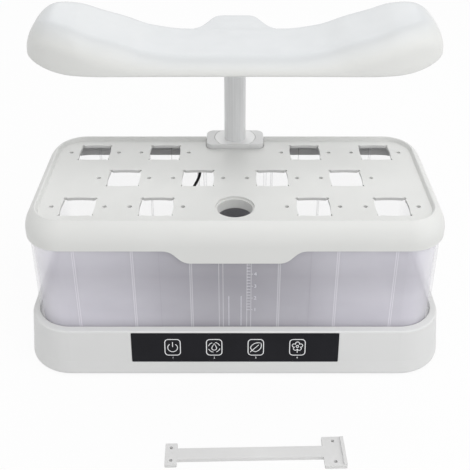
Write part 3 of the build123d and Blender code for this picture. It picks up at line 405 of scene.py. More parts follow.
def circuit_board(name, colour):
    """Solder mask over copper tracks."""
    made = start_finish(name, colour, 0.3)
    tracks = add_node(made, "TexBrick", {
        "Vector": place_field(made), "Scale": 180.0, "Mortar Size": 0.12, "Color1": (*colour, 1.0),
        "Color2": (*shades(colour, 0.35)[0], 1.0), "Mortar": (*shades(colour, 0.6)[1], 1.0)})
    feed(made, shader_inputs(made)["Base Color"], tracks.outputs["Color"])
    vary_sheen(made, noise(made, 200.0), 0.25, 0.4)
    raise_grain(made, tracks.outputs["Fac"], 0.00005)
    return made


def paint(node, finish):
    """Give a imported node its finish."""
    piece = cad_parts[node]
    if not piece.material_slots:
        piece.data.materials.append(finish)
    for slot in piece.material_slots:
        slot.material = finish


# ------------------------------------------------------------------ mesh helpers
WELD = 0.02 * MM
SHARP_ANGLE = math.radians(35)


def new_piece(name, points, faces, finish, body, smooth=True):
    """Mesh piece that rides on a body."""
    mesh = bpy.data.meshes.new(name)
    mesh.from_pydata(points, [], faces)
    mesh.validate()
    piece = bpy.data.objects.new(name, mesh)
    bpy.context.scene.collection.objects.link(piece)
    mesh.materials.append(finish)
    for polygon in mesh.polygons:
        polygon.use_smooth = smooth
    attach(piece, body)
    return piece


def new_moulding(name, rings, faces, finish, body):
    """Smooth piece from rings of points: seams welded, faces outwards, edges kept sharp."""
    piece = new_piece(name, [point for ring in rings for point in ring], faces, finish, body)
    shape = bmesh.new()
    shape.from_mesh(piece.data)
    bmesh.ops.remove_doubles(shape, verts=shape.verts, dist=WELD)
    bmesh.ops.recalc_face_normals(shape, faces=shape.faces)
    shape.to_mesh(piece.data)
    shape.free()
    piece.data.set_sharp_from_angle(angle=SHARP_ANGLE)
    return piece


def bridge(rings, loop=False):
    """Faces between neighbouring rings of equal count; a loop also joins the last to the first."""
    count, total = len(rings[0]), len(rings) * len(rings[0])
    faces = []
    for k in range(len(rings) if loop else len(rings) - 1):
        near, far = k * count, (k + 1) * count % total
        faces += [(near + i, near + (i + 1) % count, far + (i + 1) % count, far + i) for i in range(count)]
    return faces


def closed_tube(rings, first=0):
    """Faces of a tube of rings with an end face on each side, points counted from first."""
    count, last = len(rings[0]), len(rings[0]) * (len(rings) - 1)
    faces = bridge(rings) + [tuple(range(count)), tuple(range(last, last + count))]
    return [tuple(first + i for i in face) for face in faces]


def arc(centre, radius, start, end, steps):
    """Points on a circle, angles in degrees."""
    turns = [math.radians(start + (end - start) * i / steps) for i in range(steps + 1)]
    return [(centre[0] + radius * math.cos(t), centre[1] + radius * math.sin(t)) for t in turns]


def rounded_frame(centre, width, height, corner, steps=5):
    """Rounded oblong as one closed line."""
    across, up = width / 2 - corner, height / 2 - corner
    points = []
    for sx, sy, start in ((1, 1, 0), (-1, 1, 90), (-1, -1, 180), (1, -1, 270)):
        points += arc((centre[0] + sx * across, centre[1] + sy * up), corner, start, start + 90, steps)
    return points


def smooth_through(stops, along):
    """Value at a distance on a smooth line through the stops."""
    rates = [(after[1] - before[1]) / (after[0] - before[0]) for before, after in zip(stops, stops[1:])]
    slopes = [0.0] + [2 * a * b / (a + b) if a * b > 0 else 0.0 for a, b in zip(rates, rates[1:])] + [0.0]
    if along <= stops[0][0]:
        return stops[0][1]
    for i, ((d0, v0), (d1, v1)) in enumerate(zip(stops, stops[1:])):
        if along <= d1:
            span = d1 - d0
            t = (along - d0) / span
            return ((1 + 2 * t) * (1 - t) ** 2 * v0 + t * (1 - t) ** 2 * span * slopes[i]
                    + t * t * (3 - 2 * t) * v1 + t * t * (t - 1) * span * slopes[i + 1])
    return stops[-1][1]


# ------------------------------------------------------------------ lamp hood
# thickness of a wing as a share of its crest, against the distance in from its tip
WING_LINE = [(27.4 * MM, 1.0), (46.9 * MM, 0.934), (66.5 * MM, 0.771), (91 * MM, 0.608),
             (115.4 * MM, 0.423), (149.6 * MM, 0.327), (198.5 * MM, 0.325)]
TIP_START = math.radians(21.0)
# the hood's back round, and the largest share of half the hood's depth that a round may take
BACK_ROUND, BACK_ROUND_SHARE, ROUND_SHARE = 4 * MM, 0.11, 0.92
# the lip of the room inside, and the largest share of the thickness or depth that a lip may take
INNER_LIP, LIP_SHARE = 0.2 * MM, 0.3
# clear cover: gap to the hood's wall, height above its lower edge, thickness, rings of its lifted rim
COVER_GAP, COVER_RECESS, COVER_THICK = 0.8 * MM, 1 * MM, 2 * MM
COVER_RINGS, COVER_STEP = 5, 3 * MM
# the tab's foot starts this far inside the hood's back edge, and further in towards its top
TAB_FOOT, TAB_FOOT_LEAN, TAB_CHAMFER, TAB_FLOOR = 1.3 * MM, 4.3 * MM, 0.5 * MM, 3 * MM


def hood_thickness(sizes, into_wing):
    """Height of the hood's flat top above its lower edge, at a distance in from a wing's tip."""
    lean = math.cos(TIP_START) - into_wing / sizes.hood_tip
    if lean > 0:
        return sizes.hood_crest * math.sqrt(1 - lean * lean)
    return sizes.hood_crest * smooth_through(WING_LINE, into_wing)


def edge_arc(place, way, across, down, lip, thick):
    """Half a section's edge as (y, z): small round below, upright face, large round up to the top."""
    points = [(place + way * (lip + y), lip + z) for y, z in arc((0.0, 0.0), lip, 270, 180, 4)]
    points += [(place, lip + (thick - down - lip) * i / 3) for i in (1, 2)]
    return points + [(place + way * across * (1 + y), thick - down + down * z)
                     for y, z in arc((0.0, 0.0), 1.0, 180, 90, 12)]


def hood_section(sizes, x, reach, inset):
    """Points across the hood at x, from its front lower edge over the top to the back one."""
    middle = sizes.hood_back - sizes.hood_width / 2
    into_wing = reach - abs(x)
    into_end = max(0.0, 1 - into_wing / (sizes.hood_along - inset))
    cut = (sizes.hood_across - inset) * (1 - math.sqrt(max(0.0, 1 - into_end ** 2)))
    front = middle - sizes.hood_width / 2 + inset + cut + sizes.hood_waist * (1 - (x / reach) ** 2)
    back = middle + sizes.hood_width / 2 - inset - cut
    half = (back - front) / 2
    thick = hood_thickness(sizes, into_wing) - inset
    lip = min(sizes.hood_lip if inset == 0 else INNER_LIP, LIP_SHARE * thick, LIP_SHARE * half)
    across, down = min(sizes.front_round, ROUND_SHARE * half), min(sizes.front_drop, thick - lip)
    points = edge_arc(front, 1, across, down, lip, thick)
    across = min(BACK_ROUND_SHARE * thick + BACK_ROUND, ROUND_SHARE * half)
    end = edge_arc(back, -1, across, thick - lip, lip, thick)
    start_y, end_y, flat = points[-1][0], end[-1][0], 8
    points += [(start_y + (end_y - start_y) * i / flat, thick) for i in range(1, flat)] + end[::-1]
    bow = sizes.hood_bow * max(0.0, thick - sizes.hood_middle + inset)
    lift = sizes.tip_lift * max(0.0, 1 - (into_wing + inset) / sizes.tip_lift_along) ** 2
    return [(x, y, HOOD_LOW.z + z + lift * (1 - z / thick)
             - bow * z / thick * ((back - y) / (back - front)) ** 2) for y, z in points]


def hood_sections(sizes, inset):
    """Sections of the hood, or of the room inside it, from tip to tip."""
    reach = (HOOD_HIGH.x - HOOD_LOW.x) / 2 - inset
    along = sizes.hood_along - inset
    turns, plain = 30, 44
    right = [reach - along * (1 - math.cos(math.radians(90 * i / turns))) for i in range(turns + 1)]
    inner = [(reach - along) * (1 - 2 * i / plain) for i in range(1, plain)]
    return [hood_section(sizes, x, reach, inset) for x in right + inner + [-x for x in reversed(right)]]


def cover_rings(sizes):
    """Outlines of the clear cover: its underside from the flat middle out, then its top back in."""
    under = []
    for i in range(COVER_RINGS):
        inward = COVER_STEP * (COVER_RINGS - 1 - i)
        sections = hood_sections(sizes, sizes.hood_wall + COVER_GAP + inward)
        rim = [section[0] for section in sections] + [section[-1] for section in reversed(sections)]
        rise = (i / (COVER_RINGS - 1)) ** 2
        under.append([(x, y, HOOD_LOW.z + COVER_RECESS + (z - HOOD_LOW.z) * rise) for x, y, z in rim])
    return under + [[(x, y, z + COVER_THICK) for x, y, z in ring] for ring in reversed(under)]


def tab_rings(sizes):
    """Rings of the flat tab behind the hood, from its underside up to its top."""
    foot_y = sizes.hood_back - sizes.tab_sink
    side = sizes.hood_middle - sizes.tab_round
    corner, hollow = sizes.tab_corner, sizes.tab_hollow
    lean = math.atan2(sizes.tab_root - sizes.tab_end, HOOD_HIGH.y - foot_y)
    spread = math.tan((math.pi / 2 - lean) / 2)
    hollow_at = (sizes.tab_root + hollow * spread, foot_y + hollow)
    corner_at = (sizes.tab_end - corner * spread, HOOD_HIGH.y - corner)
    levels = [(TAB_FLOOR, 0.0), (TAB_CHAMFER, 0.0), (0.0, TAB_CHAMFER), (0.0, 0.5 * side), (0.0, side)]
    levels += [(sizes.tab_round - y, side + z) for y, z in arc((0.0, 0.0), sizes.tab_round, 0, 90, 9)[1:]]
    rings = []
    for inward, z in levels:
        start_y = sizes.hood_back - TAB_FOOT - TAB_FOOT_LEAN * min(1.0, z / side)
        first = math.degrees(math.asin(min(1.0, (hollow_at[1] - start_y) / (hollow + inward)))) - 180
        half = arc(hollow_at, hollow + inward, first, math.degrees(lean) - 180, 12)
        half += arc(corner_at, corner - inward, math.degrees(lean), 90, 12)
        rings.append([(x, y, HOOD_LOW.z + z) for x, y in half + [(-x, y) for x, y in reversed(half)]])
    return rings


class GARDEN_OT_hood(bpy.types.Operator):
    """Build the gull-wing hood as a smooth moulded shell with its rear tab"""

    bl_idname = "garden.hood"
    bl_label = "Lamp hood"

    def execute(self, context):
        sizes, colours = context.scene.garden_sizes, context.scene.garden_colours
        # painted light and shade on the hood: a lighter colour on its upright faces, a darker one on its top
        finish = facing_shaded_plastic("hood_white", colours.hood_face, colours.hood, 0.36, 0.00002)
        outer, inner = hood_sections(sizes, 0.0), hood_sections(sizes, sizes.hood_wall)
        rings = [skin + room[::-1] for skin, room in zip(outer, inner)]
        across, total = len(outer[0]), len(rings) * len(rings[0])
        faces = bridge(rings)
        for row in (0, total - 2 * across):
            faces.append(tuple(range(row, row + across)))
            faces.append(tuple(range(row + across, row + 2 * across)))
            faces.append((row, row + across - 1, row + across, row + 2 * across - 1))
        tab = tab_rings(sizes)
        faces += closed_tube(tab, total)
        hood = new_moulding("hood_moulding", rings + tab, faces, finish, "lamp")
        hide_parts("hood_shell")
        return {"FINISHED"}


class GARDEN_OT_lamp_inside(bpy.types.Operator):
    """Build the clear cover and dress the light board, its chips, the socket and the screws"""

    bl_idname = "garden.lamp_inside"
    bl_label = "Lamp inside"

    def execute(self, context):
        glass = clear_plastic("lens_frosted", (0.86, 0.87, 0.88), 0.45, 0.45)
        rings = cover_rings(context.scene.garden_sizes)
        cover = new_moulding("lens_cover", rings, closed_tube(rings), glass, "lamp")
        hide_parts("hood_lens")
        paint("led_board", moulded_plastic("board_white", (0.80, 0.80, 0.79), 0.35, 0.00001, 0.03))
        chips = start_finish("chip_phosphor", (0.86, 0.62, 0.12), 0.4)
        vary_colour(chips, noise(chips, 900.0), (0.80, 0.52, 0.07), (0.92, 0.72, 0.20))
        raise_grain(chips, noise(chips, 2500.0), 0.00003)
        paint("led_chips", chips)
        # the socket takes the hood's top colour, which holds that top's painted shade
        paint("hood_socket", moulded_plastic("socket_white", context.scene.garden_colours.hood, 0.4))
        paint("hood_screws", satin_metal("screw_steel", (0.55, 0.55, 0.56), (1.0, 1.0, 1.0), 0.3))
        return {"FINISHED"}


class GARDEN_OT_post(bpy.types.Operator):
    """Dress the sliding post and its foot"""

    bl_idname = "garden.post"
    bl_label = "Lamp post"

    def execute(self, context):
        colours = context.scene.garden_colours
        paint("lamp_post", satin_metal("post_satin", colours.post, (1.0, 1.0, 0.02), 0.42, 0.2))
        paint("post_foot", moulded_plastic("slider_grey", (0.10, 0.10, 0.105), 0.5))
        return {"FINISHED"}


# ------------------------------------------------------------------ housing
# the lower edge's band: depth and thickness of its foot, depth of its top, and its seam on the side
BAND_UNDER, BAND_FLOOR, BAND_TOP, BAND_SEAM = 15 * MM, 0.6 * MM, 1.5 * MM, 0.05 * MM
# its back is hollowed to follow the shell's own round, and all of it stays inside the frame's box
SHELL_ROUND, BAND_BACK, BAND_BACK_IN = 14 * MM, 13.2 * MM, 14.3 * MM
BOX_GAP = 0.02 * MM


def edge_rings(sizes):
    """Rings of the tight lower edge round the base, from its top seam down and back up inside."""
    draft, radius, foot, top = math.tan(sizes.base_draft), sizes.base_edge, sizes.base_foot, sizes.edge_top
    half_x, half_y, corner = sizes.base_half_x, sizes.base_half_y, sizes.base_corner
    profile = [(-BAND_SEAM, top)]
    profile += [(0.0, top - (top - radius - foot) * i / 6) for i in range(1, 7)]
    profile += [(radius + y, foot + radius + z) for y, z in arc((0.0, 0.0), radius, 180, 270, 10)[1:]]
    profile += [(BAND_UNDER, foot), (BAND_UNDER, foot + BAND_FLOOR)]
    profile += [(BAND_BACK_IN + y, foot + SHELL_ROUND + z)
                for y, z in arc((0.0, 0.0), BAND_BACK, 270, 189, 9)] + [(BAND_TOP, top)]
    rings = []
    for inward, z in profile:
        lean = (z - foot) * draft + inward
        reach_x, reach_y = CAD_BOX[1].x - BOX_GAP - inward, CAD_BOX[1].y - BOX_GAP - inward
        front = 1 + sizes.edge_spread / half_y * (top - z) / (top - foot)
        outline = rounded_frame((0.0, 0.0), 2 * (half_x - lean), 2 * (half_y - lean), corner - lean, 16)
        rings.append([(max(-reach_x, min(reach_x, x)), y * front if y < 0 else min(reach_y, y), z)
                      for x, y in outline])
    return rings


class GARDEN_OT_housing(bpy.types.Operator):
    """Dress the base, its cover, feet and screws, the column, cap and bushing, and round its lower edge"""

    bl_idname = "garden.housing"
    bl_label = "Housing"

    def execute(self, context):
        white = context.scene.garden_colours.housing
        housing = moulded_plastic("housing_white", white, 0.4)
        for node in ("base_shell", "base_bottom_cover"):
            paint(node, housing)
        rings = edge_rings(context.scene.garden_sizes)
        new_moulding("base_edge", rings, bridge(rings, loop=True), housing, "base")
        # painted shade: the column is given a dark grey that stands for the shade in the tank's recess
        paint("rear_column", moulded_plastic("column_shade_grey", (0.30, 0.295, 0.31), 0.45))
        paint("column_cap", moulded_plastic("cap_white", white, 0.4))
        paint("post_bushing", moulded_plastic("bushing_white", shades(white, 0.18)[1], 0.34))
        paint("rubber_feet", soft_rubber("foot_rubber", (0.045, 0.045, 0.048)))
        paint("base_screws", satin_metal("cover_screws", (0.50, 0.50, 0.51), (1.0, 1.0, 1.0), 0.35))
        return {"FINISHED"}


class GARDEN_OT_deck(bpy.types.Operator):
    """Dress the planting deck"""

    bl_idname = "garden.deck"
    bl_label = "Deck"

    def execute(self, context):
        paint("deck", moulded_plastic("deck_white", context.scene.garden_colours.deck, 0.4))
        return {"FINISHED"}


class GARDEN_OT_electrics(bpy.types.Operator):
    """Dress the boards, the power jack and the pump's contacts"""

    bl_idname = "garden.electrics"
    bl_label = "Electrics"

    def execute(self, context):
        colours = context.scene.garden_colours
        board = circuit_board("solder_mask", colours.board)
        paint("touch_board", board)
        paint("main_board", board)
        paint("dc_jack", moulded_plastic("jack_black", (0.025, 0.025, 0.027), 0.45))
        paint("pump_contacts", satin_metal("contact_brass", (0.72, 0.56, 0.26), (1.0, 1.0, 1.0), 0.28))
        return {"FINISHED"}


class GARDEN_OT_pump(bpy.types.Operator):
    """Dress the pump and lay its lead up to the plug"""

    bl_idname = "garden.pump"
    bl_label = "Pump"

    def execute(self, context):
        colours = context.scene.garden_colours
        black = moulded_plastic("pump_black", colours.pump, 0.45, 0.00005, 0.15)
        for node in ("pump_body", "pump_cover", "pump_outlet", "pump_plug"):
            paint(node, black)
        paint("impeller", moulded_plastic("rotor_grey", (0.16, 0.16, 0.17), 0.4))
        paint("pump_shaft", satin_metal("shaft_steel", (0.60, 0.60, 0.61), (1.0, 0.02, 1.0), 0.25))
        paint("suction_cups", soft_rubber("cup_rubber", (0.30, 0.30, 0.31)))
        route = [(-54, 79, 87.6), (-54, 79, 98.6), (-47.5, 79, 111.6),
                 (-41.5, 74.6, 125.6), (-39.4, 73.8, 133), (-39.4, 73.8, 142)]
        line = bpy.data.curves.new("pump_lead", "CURVE")
        line.dimensions = "3D"
        spline = line.splines.new("NURBS")
        spline.points.add(len(route) - 1)
        for point, place in zip(spline.points, route):
            point.co = (*(c * MM for c in place), 1.0)
        spline.order_u = 3
        spline.use_endpoint_u = True
        line.resolution_u = 12
        line.bevel_depth = context.scene.garden_sizes.lead / 2
        line.bevel_resolution = 4
        line.use_fill_caps = True
        line.materials.append(soft_rubber("lead_sheath", colours.pump))
        lead = bpy.data.objects.new("pump_lead", line)
        context.scene.collection.objects.link(lead)
        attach(lead, "tank")
        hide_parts("pump_cable")
        return {"FINISHED"}


# ------------------------------------------------------------------ marks
def stroke_mesh(strokes, width, place, depth):
    """Round-ended strokes drawn flat on a plane, as one thin mesh."""
    line = bpy.data.curves.new("strokes", "CURVE")
    line.dimensions = "3D"
    line.bevel_depth = width / 2
    line.bevel_resolution = 1
    line.use_fill_caps = True
    for points, closed in strokes:
        spline = line.splines.new("POLY")
        spline.points.add(len(points) - 1)
        for point, (u, v) in zip(spline.points, points):
            point.co = (u, v, 0.0, 1.0)
        spline.use_cyclic_u = closed
    return flat_mesh(line, place @ Matrix.Diagonal((1.0, 1.0, depth / width, 1.0)))


def numeral_mesh(text, height, place, depth):
    """A plain numeral as a thin mesh, its middle at the plane's origin."""
    words = bpy.data.curves.new("numeral", "FONT")
    words.body = text
    words.size = height / NUMERAL_SHARE
    words.align_x = "CENTER"
    words.align_y = "CENTER"
    words.extrude = depth / 2
    words.resolution_u = 4
    return flat_mesh(words, place)


def flat_mesh(line, place):
    """Mesh of a curve or a numeral, laid in its place."""
    holder = bpy.data.objects.new("holder", line)
    mesh = bpy.data.meshes.new_from_object(holder)
    bpy.data.objects.remove(holder)
    mesh.transform(place)
    return mesh


def join_meshes(name, meshes, finish, body):
    """One piece from several thin meshes."""
    points, faces = [], []
    for mesh in meshes:
        first = len(points)
        points += [tuple(v.co) for v in mesh.vertices]
        faces += [tuple(first + i for i in p.vertices) for p in mesh.polygons]
        bpy.data.meshes.remove(mesh)
    return new_piece(name, points, faces, finish, body, smooth=False)


def power_mark(centre, size):
    """Open ring with a bar at its gap."""
    x, y = centre
    return [(arc((x, y - 0.02 * size), 0.26 * size, 125, 415, 24), False),
            ([(x, y + 0.33 * size), (x, y + 0.02 * size)], False)]


def water_mark(centre, size):
    """Drop in a ring of four short arcs."""
    x, y = centre
    drop = [(x, y + 0.25 * size)] + arc((x, y - 0.05 * size), 0.13 * size, 30, -210, 14)
    spans = ((20, 80), (200, 260), (110, 165), (290, 345))
    return [(drop, True)] + [(arc(centre, 0.31 * size, start, end, 8), False) for start, end in spans]


def leaf_mark(centre, size):
    """Leaf with a midrib."""
    x, y = centre
    tip, root = (x + 0.27 * size, y + 0.27 * size), (x - 0.2 * size, y - 0.2 * size)
    strokes = []
    for side, start, end in ((1, 70.5, 199.5), (-1, 19.5, -109.5)):
        edge = arc((x + side * 0.13 * size, y - side * 0.13 * size), 0.425 * size, start, end, 12)
        edge = [p for p in edge if p[0] + p[1] > root[0] + root[1] + 0.02 * size]
        strokes.append(([tip] + edge + [root], False))
    return strokes + [([(x + 0.16 * size, y + 0.16 * size), (x - 0.3 * size, y - 0.3 * size)], False)]


def flower_mark(centre, size):
    """Five petals round an eye, on a short stalk."""
    x, y = centre[0], centre[1] + 0.06 * size
    strokes = [(arc((x, y), 0.07 * size, 0, 360, 12), True)]
    for turn in range(90, 450, 72):
        way = math.radians(turn)
        petal = (x + 0.18 * size * math.cos(way), y + 0.18 * size * math.sin(way))
        strokes.append((arc(petal, 0.105 * size, turn - 120, turn + 120, 12), False))
    return strokes + [([(x, y - 0.2 * size), (x, y - 0.4 * size)], False)]


KEY_MARKS = (power_mark, water_mark, leaf_mark, flower_mark)
NUMERAL_SHARE = 0.73        # a numeral's height as a share of its letter size
STRIP_SLOPE = 34 * MM       # height of the strip's face along its slope
KEY_CORNER, KEY_NUMERAL, KEY_NUMERAL_DROP = 3.6 * MM, 2.4 * MM, 3.1 * MM


def strip_plane(lean, lift):
    """Matrix of the strip's face, u to the right and v up its slope."""
    up = Vector((0.0, math.sin(lean), math.cos(lean)))
    out = Vector((0.0, -math.cos(lean), math.sin(lean)))
    place = Matrix.Identity(4)
    place.col[1] = (*up, 0.0)
    place.col[2] = (*out, 0.0)
    place.translation = Vector((0.0, STRIP_LOW.y, STRIP_LOW.z)) + up * (STRIP_SLOPE / 2) + out * lift
    return place


class GARDEN_OT_strip(bpy.types.Operator):
    """Dress the touch strip and draw the marks of its four keys"""

    bl_idname = "garden.strip"
    bl_label = "Touch strip"

    def execute(self, context):
        colours, sizes = context.scene.garden_colours, context.scene.garden_sizes
        paint("control_panel", gloss_strip("strip_gloss", colours.strip))
        ink = start_finish("key_ink", colours.ink, 0.4)
        vary_colour(ink, noise(ink, 700.0), *shades(colours.ink, 0.06))
        raise_grain(ink, noise(ink, 3000.0), 0.00001)
        depth, place = sizes.ink_depth, strip_plane(sizes.base_draft, sizes.ink_depth / 2)
        meshes = []
        for i, mark in enumerate(KEY_MARKS):
            centre = ((i - 1.5) * sizes.key_pitch, sizes.key_rise)
            outline = [(rounded_frame(centre, sizes.key_width, sizes.key_height, KEY_CORNER), True)]
            meshes.append(stroke_mesh(outline, sizes.stroke, place, depth))
            meshes.append(stroke_mesh(mark(centre, sizes.key_height), 0.9 * sizes.stroke, place, depth))
            below = (centre[0], centre[1] - sizes.key_height / 2 - KEY_NUMERAL_DROP, 0.0)
            meshes.append(numeral_mesh(str(i + 1), KEY_NUMERAL, place @ Matrix.Translation(below), depth))
        join_meshes("key_marks", meshes, ink, "base")
        return {"FINISHED"}


# ------------------------------------------------------------------ tank
# the front wall's haze with painted shade and light: from the darker middle to the lighter ends, and from
# the foot to the rim with darker bands at the foot, part way up and under the rim; then its density in the
# middle and at the ends
HAZE_SHADE_ACROSS = ((0.0, 0.66), (0.12, 0.70), (0.30, 0.80), (0.5, 1.0), (0.8, 1.12), (1.0, 1.3))
HAZE_SHADE_UP = ((0.02, 0.55), (0.05, 0.95), (0.15, 1.08), (0.35, 1.04), (0.58, 0.90), (0.75, 1.0),
           (0.86, 1.08), (0.89, 0.8))
HAZE_MIDDLE, HAZE_ENDS = 0.72, 0.50
# upright ribs of the long walls and of the gauge's channel, from the tank's middle
RIBS, CHANNEL_RIBS, CHANNEL_WALL = (42 * MM, 97.5 * MM, 153 * MM), (11 * MM, 15 * MM), 72 * MM
# the gauge's lines along x, its line width and the relief of its lines and numerals
MINOR_TICK, NUMERAL_TICK, FULL_TICK = (11.2 * MM, 14.8 * MM), (16 * MM, 17.2 * MM), (16 * MM, 25 * MM)
TICK_WIDTH, FULL_WIDTH, TICK_RELIEF, MARK_RELIEF = 0.6 * MM, 0.9 * MM, 0.15 * MM, 0.1 * MM
# pale strokes on the front face as painted highlight of the short inner ribs: their place along x and their
# span up
SHORT_RIB_X, SHORT_RIB = 6 * MM, (54 * MM, 91 * MM)


class GARDEN_OT_tank(bpy.types.Operator):
    """Dress the clear tank and raise the ticks and numerals of its gauge"""

    bl_idname = "garden.tank"
    bl_label = "Tank"

    def execute(self, context):
        colours, sizes = context.scene.garden_colours, context.scene.garden_sizes
        haze = clear_plastic("tank_haze", colours.tank, 0.055, 0.2)
        # painted shade and light on the front wall: its haze colour scaled across and up by the tables above
        shade_across = [(place, *(c * share for c in colours.haze), 1.0) for place, share in HAZE_SHADE_ACROSS]
        upright = [(place, tone, tone, tone, 1.0) for place, tone in HAZE_SHADE_UP]
        frost_and_shade_front(haze, shade_across, upright, HAZE_MIDDLE, HAZE_ENDS)
        # painted highlights: light lines where the ribs and the channel's ribs stand; painted shade: a dark
        # line at the channel's wall
        light, dark = (0.93, 0.92, 0.95), (0.06, 0.055, 0.07)
        bands = [(x + side * 1 * MM, 0.3 * MM, light, 0.17) for x in RIBS for side in (-1, 1)]
        bands += [(x, 0.5 * MM, light, 0.06) for x in RIBS]
        bands += [(x, 0.4 * MM, light, 0.2) for x in CHANNEL_RIBS]
        paint_rib_light_and_shade(haze, bands + [(CHANNEL_WALL, 0.4 * MM, dark, 0.2)])
        paint("tank", haze)

        ink = start_finish("gauge_relief", (0.66, 0.65, 0.71), 0.35)
        vary_colour(ink, noise(ink, 300.0), (0.61, 0.60, 0.66), (0.71, 0.70, 0.76))
        raise_grain(ink, noise(ink, 2000.0), 0.00002)
        face = Matrix(((1, 0, 0, 0), (0, 0, -1, TANK_LOW.y - 0.1 * MM), (0, 1, 0, 0), (0, 0, 0, 1)))
        steps, low, pitch = sizes.gauge_steps, sizes.gauge_low, sizes.gauge_pitch
        lines = [(MINOR_TICK, low + i * pitch / 4, TICK_WIDTH) for i in range(4 * steps + 1)]
        lines += [(NUMERAL_TICK, low + i * pitch, TICK_WIDTH) for i in range(steps)]
        lines.append((FULL_TICK, low + steps * pitch, FULL_WIDTH))
        meshes = [stroke_mesh([([(start, z), (end, z)], False)], width, face, TICK_RELIEF)
                  for (start, end), z, width in lines]
        for i in range(steps):
            spot = face @ Matrix.Translation((sizes.gauge_x, low + i * pitch, 0.0))
            meshes.append(numeral_mesh(str(i + 1), sizes.gauge_numeral, spot, MARK_RELIEF))
        # painted highlight: pale strokes drawn where the short inner ribs stand
        for x in (-SHORT_RIB_X, SHORT_RIB_X):
            rib = [([(x, z) for z in SHORT_RIB], False)]
            meshes.append(stroke_mesh(rib, TICK_WIDTH, face, MARK_RELIEF))
        join_meshes("gauge_marks", meshes, ink, "tank")
        return {"FINISHED"}


class GARDEN_OT_bar(bpy.types.Operator):
    """Dress the loose support bar"""

    bl_idname = "garden.bar"
    bl_label = "Loose bar"

    def execute(self, context):
        white = context.scene.garden_colours.bar
        paint("support_bar", moulded_plastic("bar_white", white, 0.45, 0.00004, 0.03))
        return {"FINISHED"}


# ------------------------------------------------------------------ stage
LAMP_TARGET = Vector((0.0, 0.0, 0.15))
# the floor lies just below the feet; its white share leaves room for the garden's shadow
FLOOR_DROP, FLOOR_WHITE = 0.2 * MM, 0.93


def soft_lamp(name, place, size, power):
    """Large square lamp that faces the garden."""
    light = bpy.data.lights.new(name, "AREA")
    light.shape = "SQUARE"
    light.size = size
    light.energy = power
    lamp = bpy.data.objects.new(name, light)
    lamp.location = place
    lamp.rotation_euler = (LAMP_TARGET - Vector(place)).to_track_quat("-Z", "Y").to_euler()
    bpy.context.scene.collection.objects.link(lamp)


def pale_to_camera(made, shader, output, share):
    """Blend a shader towards plain white for straight, mirrored and see-through sight."""
    path = add_node(made, "LightPath", {}).outputs
    seen = reckon(made, "MAXIMUM", path["Is Camera Ray"], path["Is Glossy Ray"])
    seen = reckon(made, "MAXIMUM", seen, path["Is Transmission Ray"])
    white = {"Color": (1.0, 1.0, 1.0, 1.0), "Strength": 1.0}
    glow = add_node(made, "Emission" if share < 1 else "Background", white)
    blend = add_node(made, "MixShader", {"Fac": reckon(made, "MULTIPLY", seen, share), 1: shader.outputs[0],
                                         2: glow.outputs[0]})
    feed(made, made.node_tree.nodes[output].inputs["Surface"], blend.outputs[0])


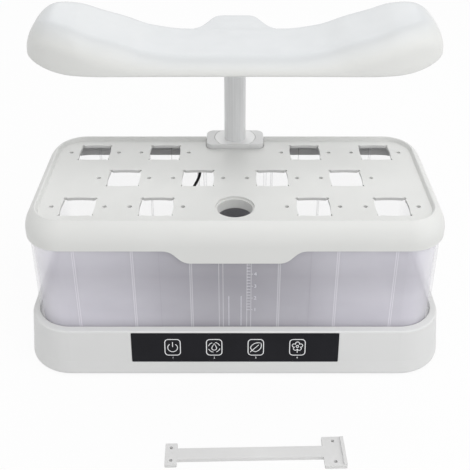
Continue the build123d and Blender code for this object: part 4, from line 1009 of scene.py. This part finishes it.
class GARDEN_OT_stage(bpy.types.Operator):
    """Set the camera, the pale floor, the soft lamps and the room's light"""

    bl_idname = "garden.stage"
    bl_label = "Stage"

    def execute(self, context):
        scene, studio = context.scene, context.scene.garden_studio
        view = bpy.data.cameras.new("front_view")
        view.lens = studio.camera_lens
        view.sensor_width = 36.0
        view.shift_y = studio.camera_shift
        view.clip_start = 0.05
        camera = bpy.data.objects.new("front_view", view)
        camera.location = (0.0, -studio.camera_back, studio.camera_height)
        camera.rotation_euler = (math.pi / 2 - studio.camera_tilt, 0.0, 0.0)
        scene.collection.objects.link(camera)
        scene.camera = camera
        scene.view_settings.view_transform = "Standard"

        mesh = bpy.data.meshes.new("counter")
        mesh.from_pydata([(-4, -4, 0), (4, -4, 0), (4, 6, 0), (-4, 6, 0)], [], [(0, 1, 2, 3)])
        floor = bpy.data.objects.new("counter", mesh)
        floor.location.z = -FLOOR_DROP
        scene.collection.objects.link(floor)
        pale = start_finish("counter_pale", studio.floor, 0.85)
        vary_sheen(pale, noise(pale, 8.0), 0.8, 0.9)
        pale_to_camera(pale, pale.node_tree.nodes["Principled BSDF"], "Material Output", FLOOR_WHITE)
        mesh.materials.append(pale)

        world = bpy.data.worlds.new("room")
        scene.world = world
        world.use_nodes = True
        even = world.node_tree.nodes["Background"]
        even.inputs["Color"].default_value = (1.0, 1.0, 1.0, 1.0)
        even.inputs["Strength"].default_value = studio.sky
        pale_to_camera(world, even, "World Output", 1.0)

        soft_lamp("top_lamp", (0.35, -0.88, 1.71), 1.8, studio.top_power)
        soft_lamp("left_lamp", (-1.3, -0.9, 0.45), 1.0, studio.left_power)
        soft_lamp("right_lamp", (1.4, -0.5, 0.9), 1.6, studio.right_power)
        soft_lamp("back_lamp", (0.0, 1.1, 1.2), 1.2, studio.back_power)
        return {"FINISHED"}


# ------------------------------------------------------------------ panel and run
OPERATORS = (GARDEN_OT_stage, GARDEN_OT_pump, GARDEN_OT_housing, GARDEN_OT_electrics, GARDEN_OT_strip,
             GARDEN_OT_tank, GARDEN_OT_deck, GARDEN_OT_post, GARDEN_OT_hood, GARDEN_OT_lamp_inside,
             GARDEN_OT_bar)


class GARDEN_PT_panel(bpy.types.Panel):
    """Sidebar list of the garden's pieces."""

    bl_idname = "GARDEN_PT_panel"
    bl_label = "Countertop Garden"
    bl_space_type = "VIEW_3D"
    bl_region_type = "UI"
    bl_category = "Garden"

    def draw(self, context):
        for step in OPERATORS:
            self.layout.operator(step.bl_idname)
        for group in (context.scene.garden_colours, context.scene.garden_sizes, context.scene.garden_studio):
            box = self.layout.box()
            for name in group.bl_rna.properties.keys():
                if name not in {"rna_type", "name"}:
                    box.prop(group, name)


GROUPS = (GardenColours, GardenSizes, GardenStudio)
CLASSES = GROUPS + OPERATORS + (GARDEN_PT_panel,)


def register():
    for kind in CLASSES:
        bpy.utils.register_class(kind)
    bpy.types.Scene.garden_colours = PointerProperty(type=GardenColours)
    bpy.types.Scene.garden_sizes = PointerProperty(type=GardenSizes)
    bpy.types.Scene.garden_studio = PointerProperty(type=GardenStudio)


def unregister():
    del bpy.types.Scene.garden_studio
    del bpy.types.Scene.garden_sizes
    del bpy.types.Scene.garden_colours
    for kind in reversed(CLASSES):
        bpy.utils.unregister_class(kind)


def main():
    """Dress the whole garden."""
    register()
    for step in OPERATORS:
        getattr(bpy.ops.garden, step.bl_idname.split(".")[1])()


if __name__ == "__main__":
    main()
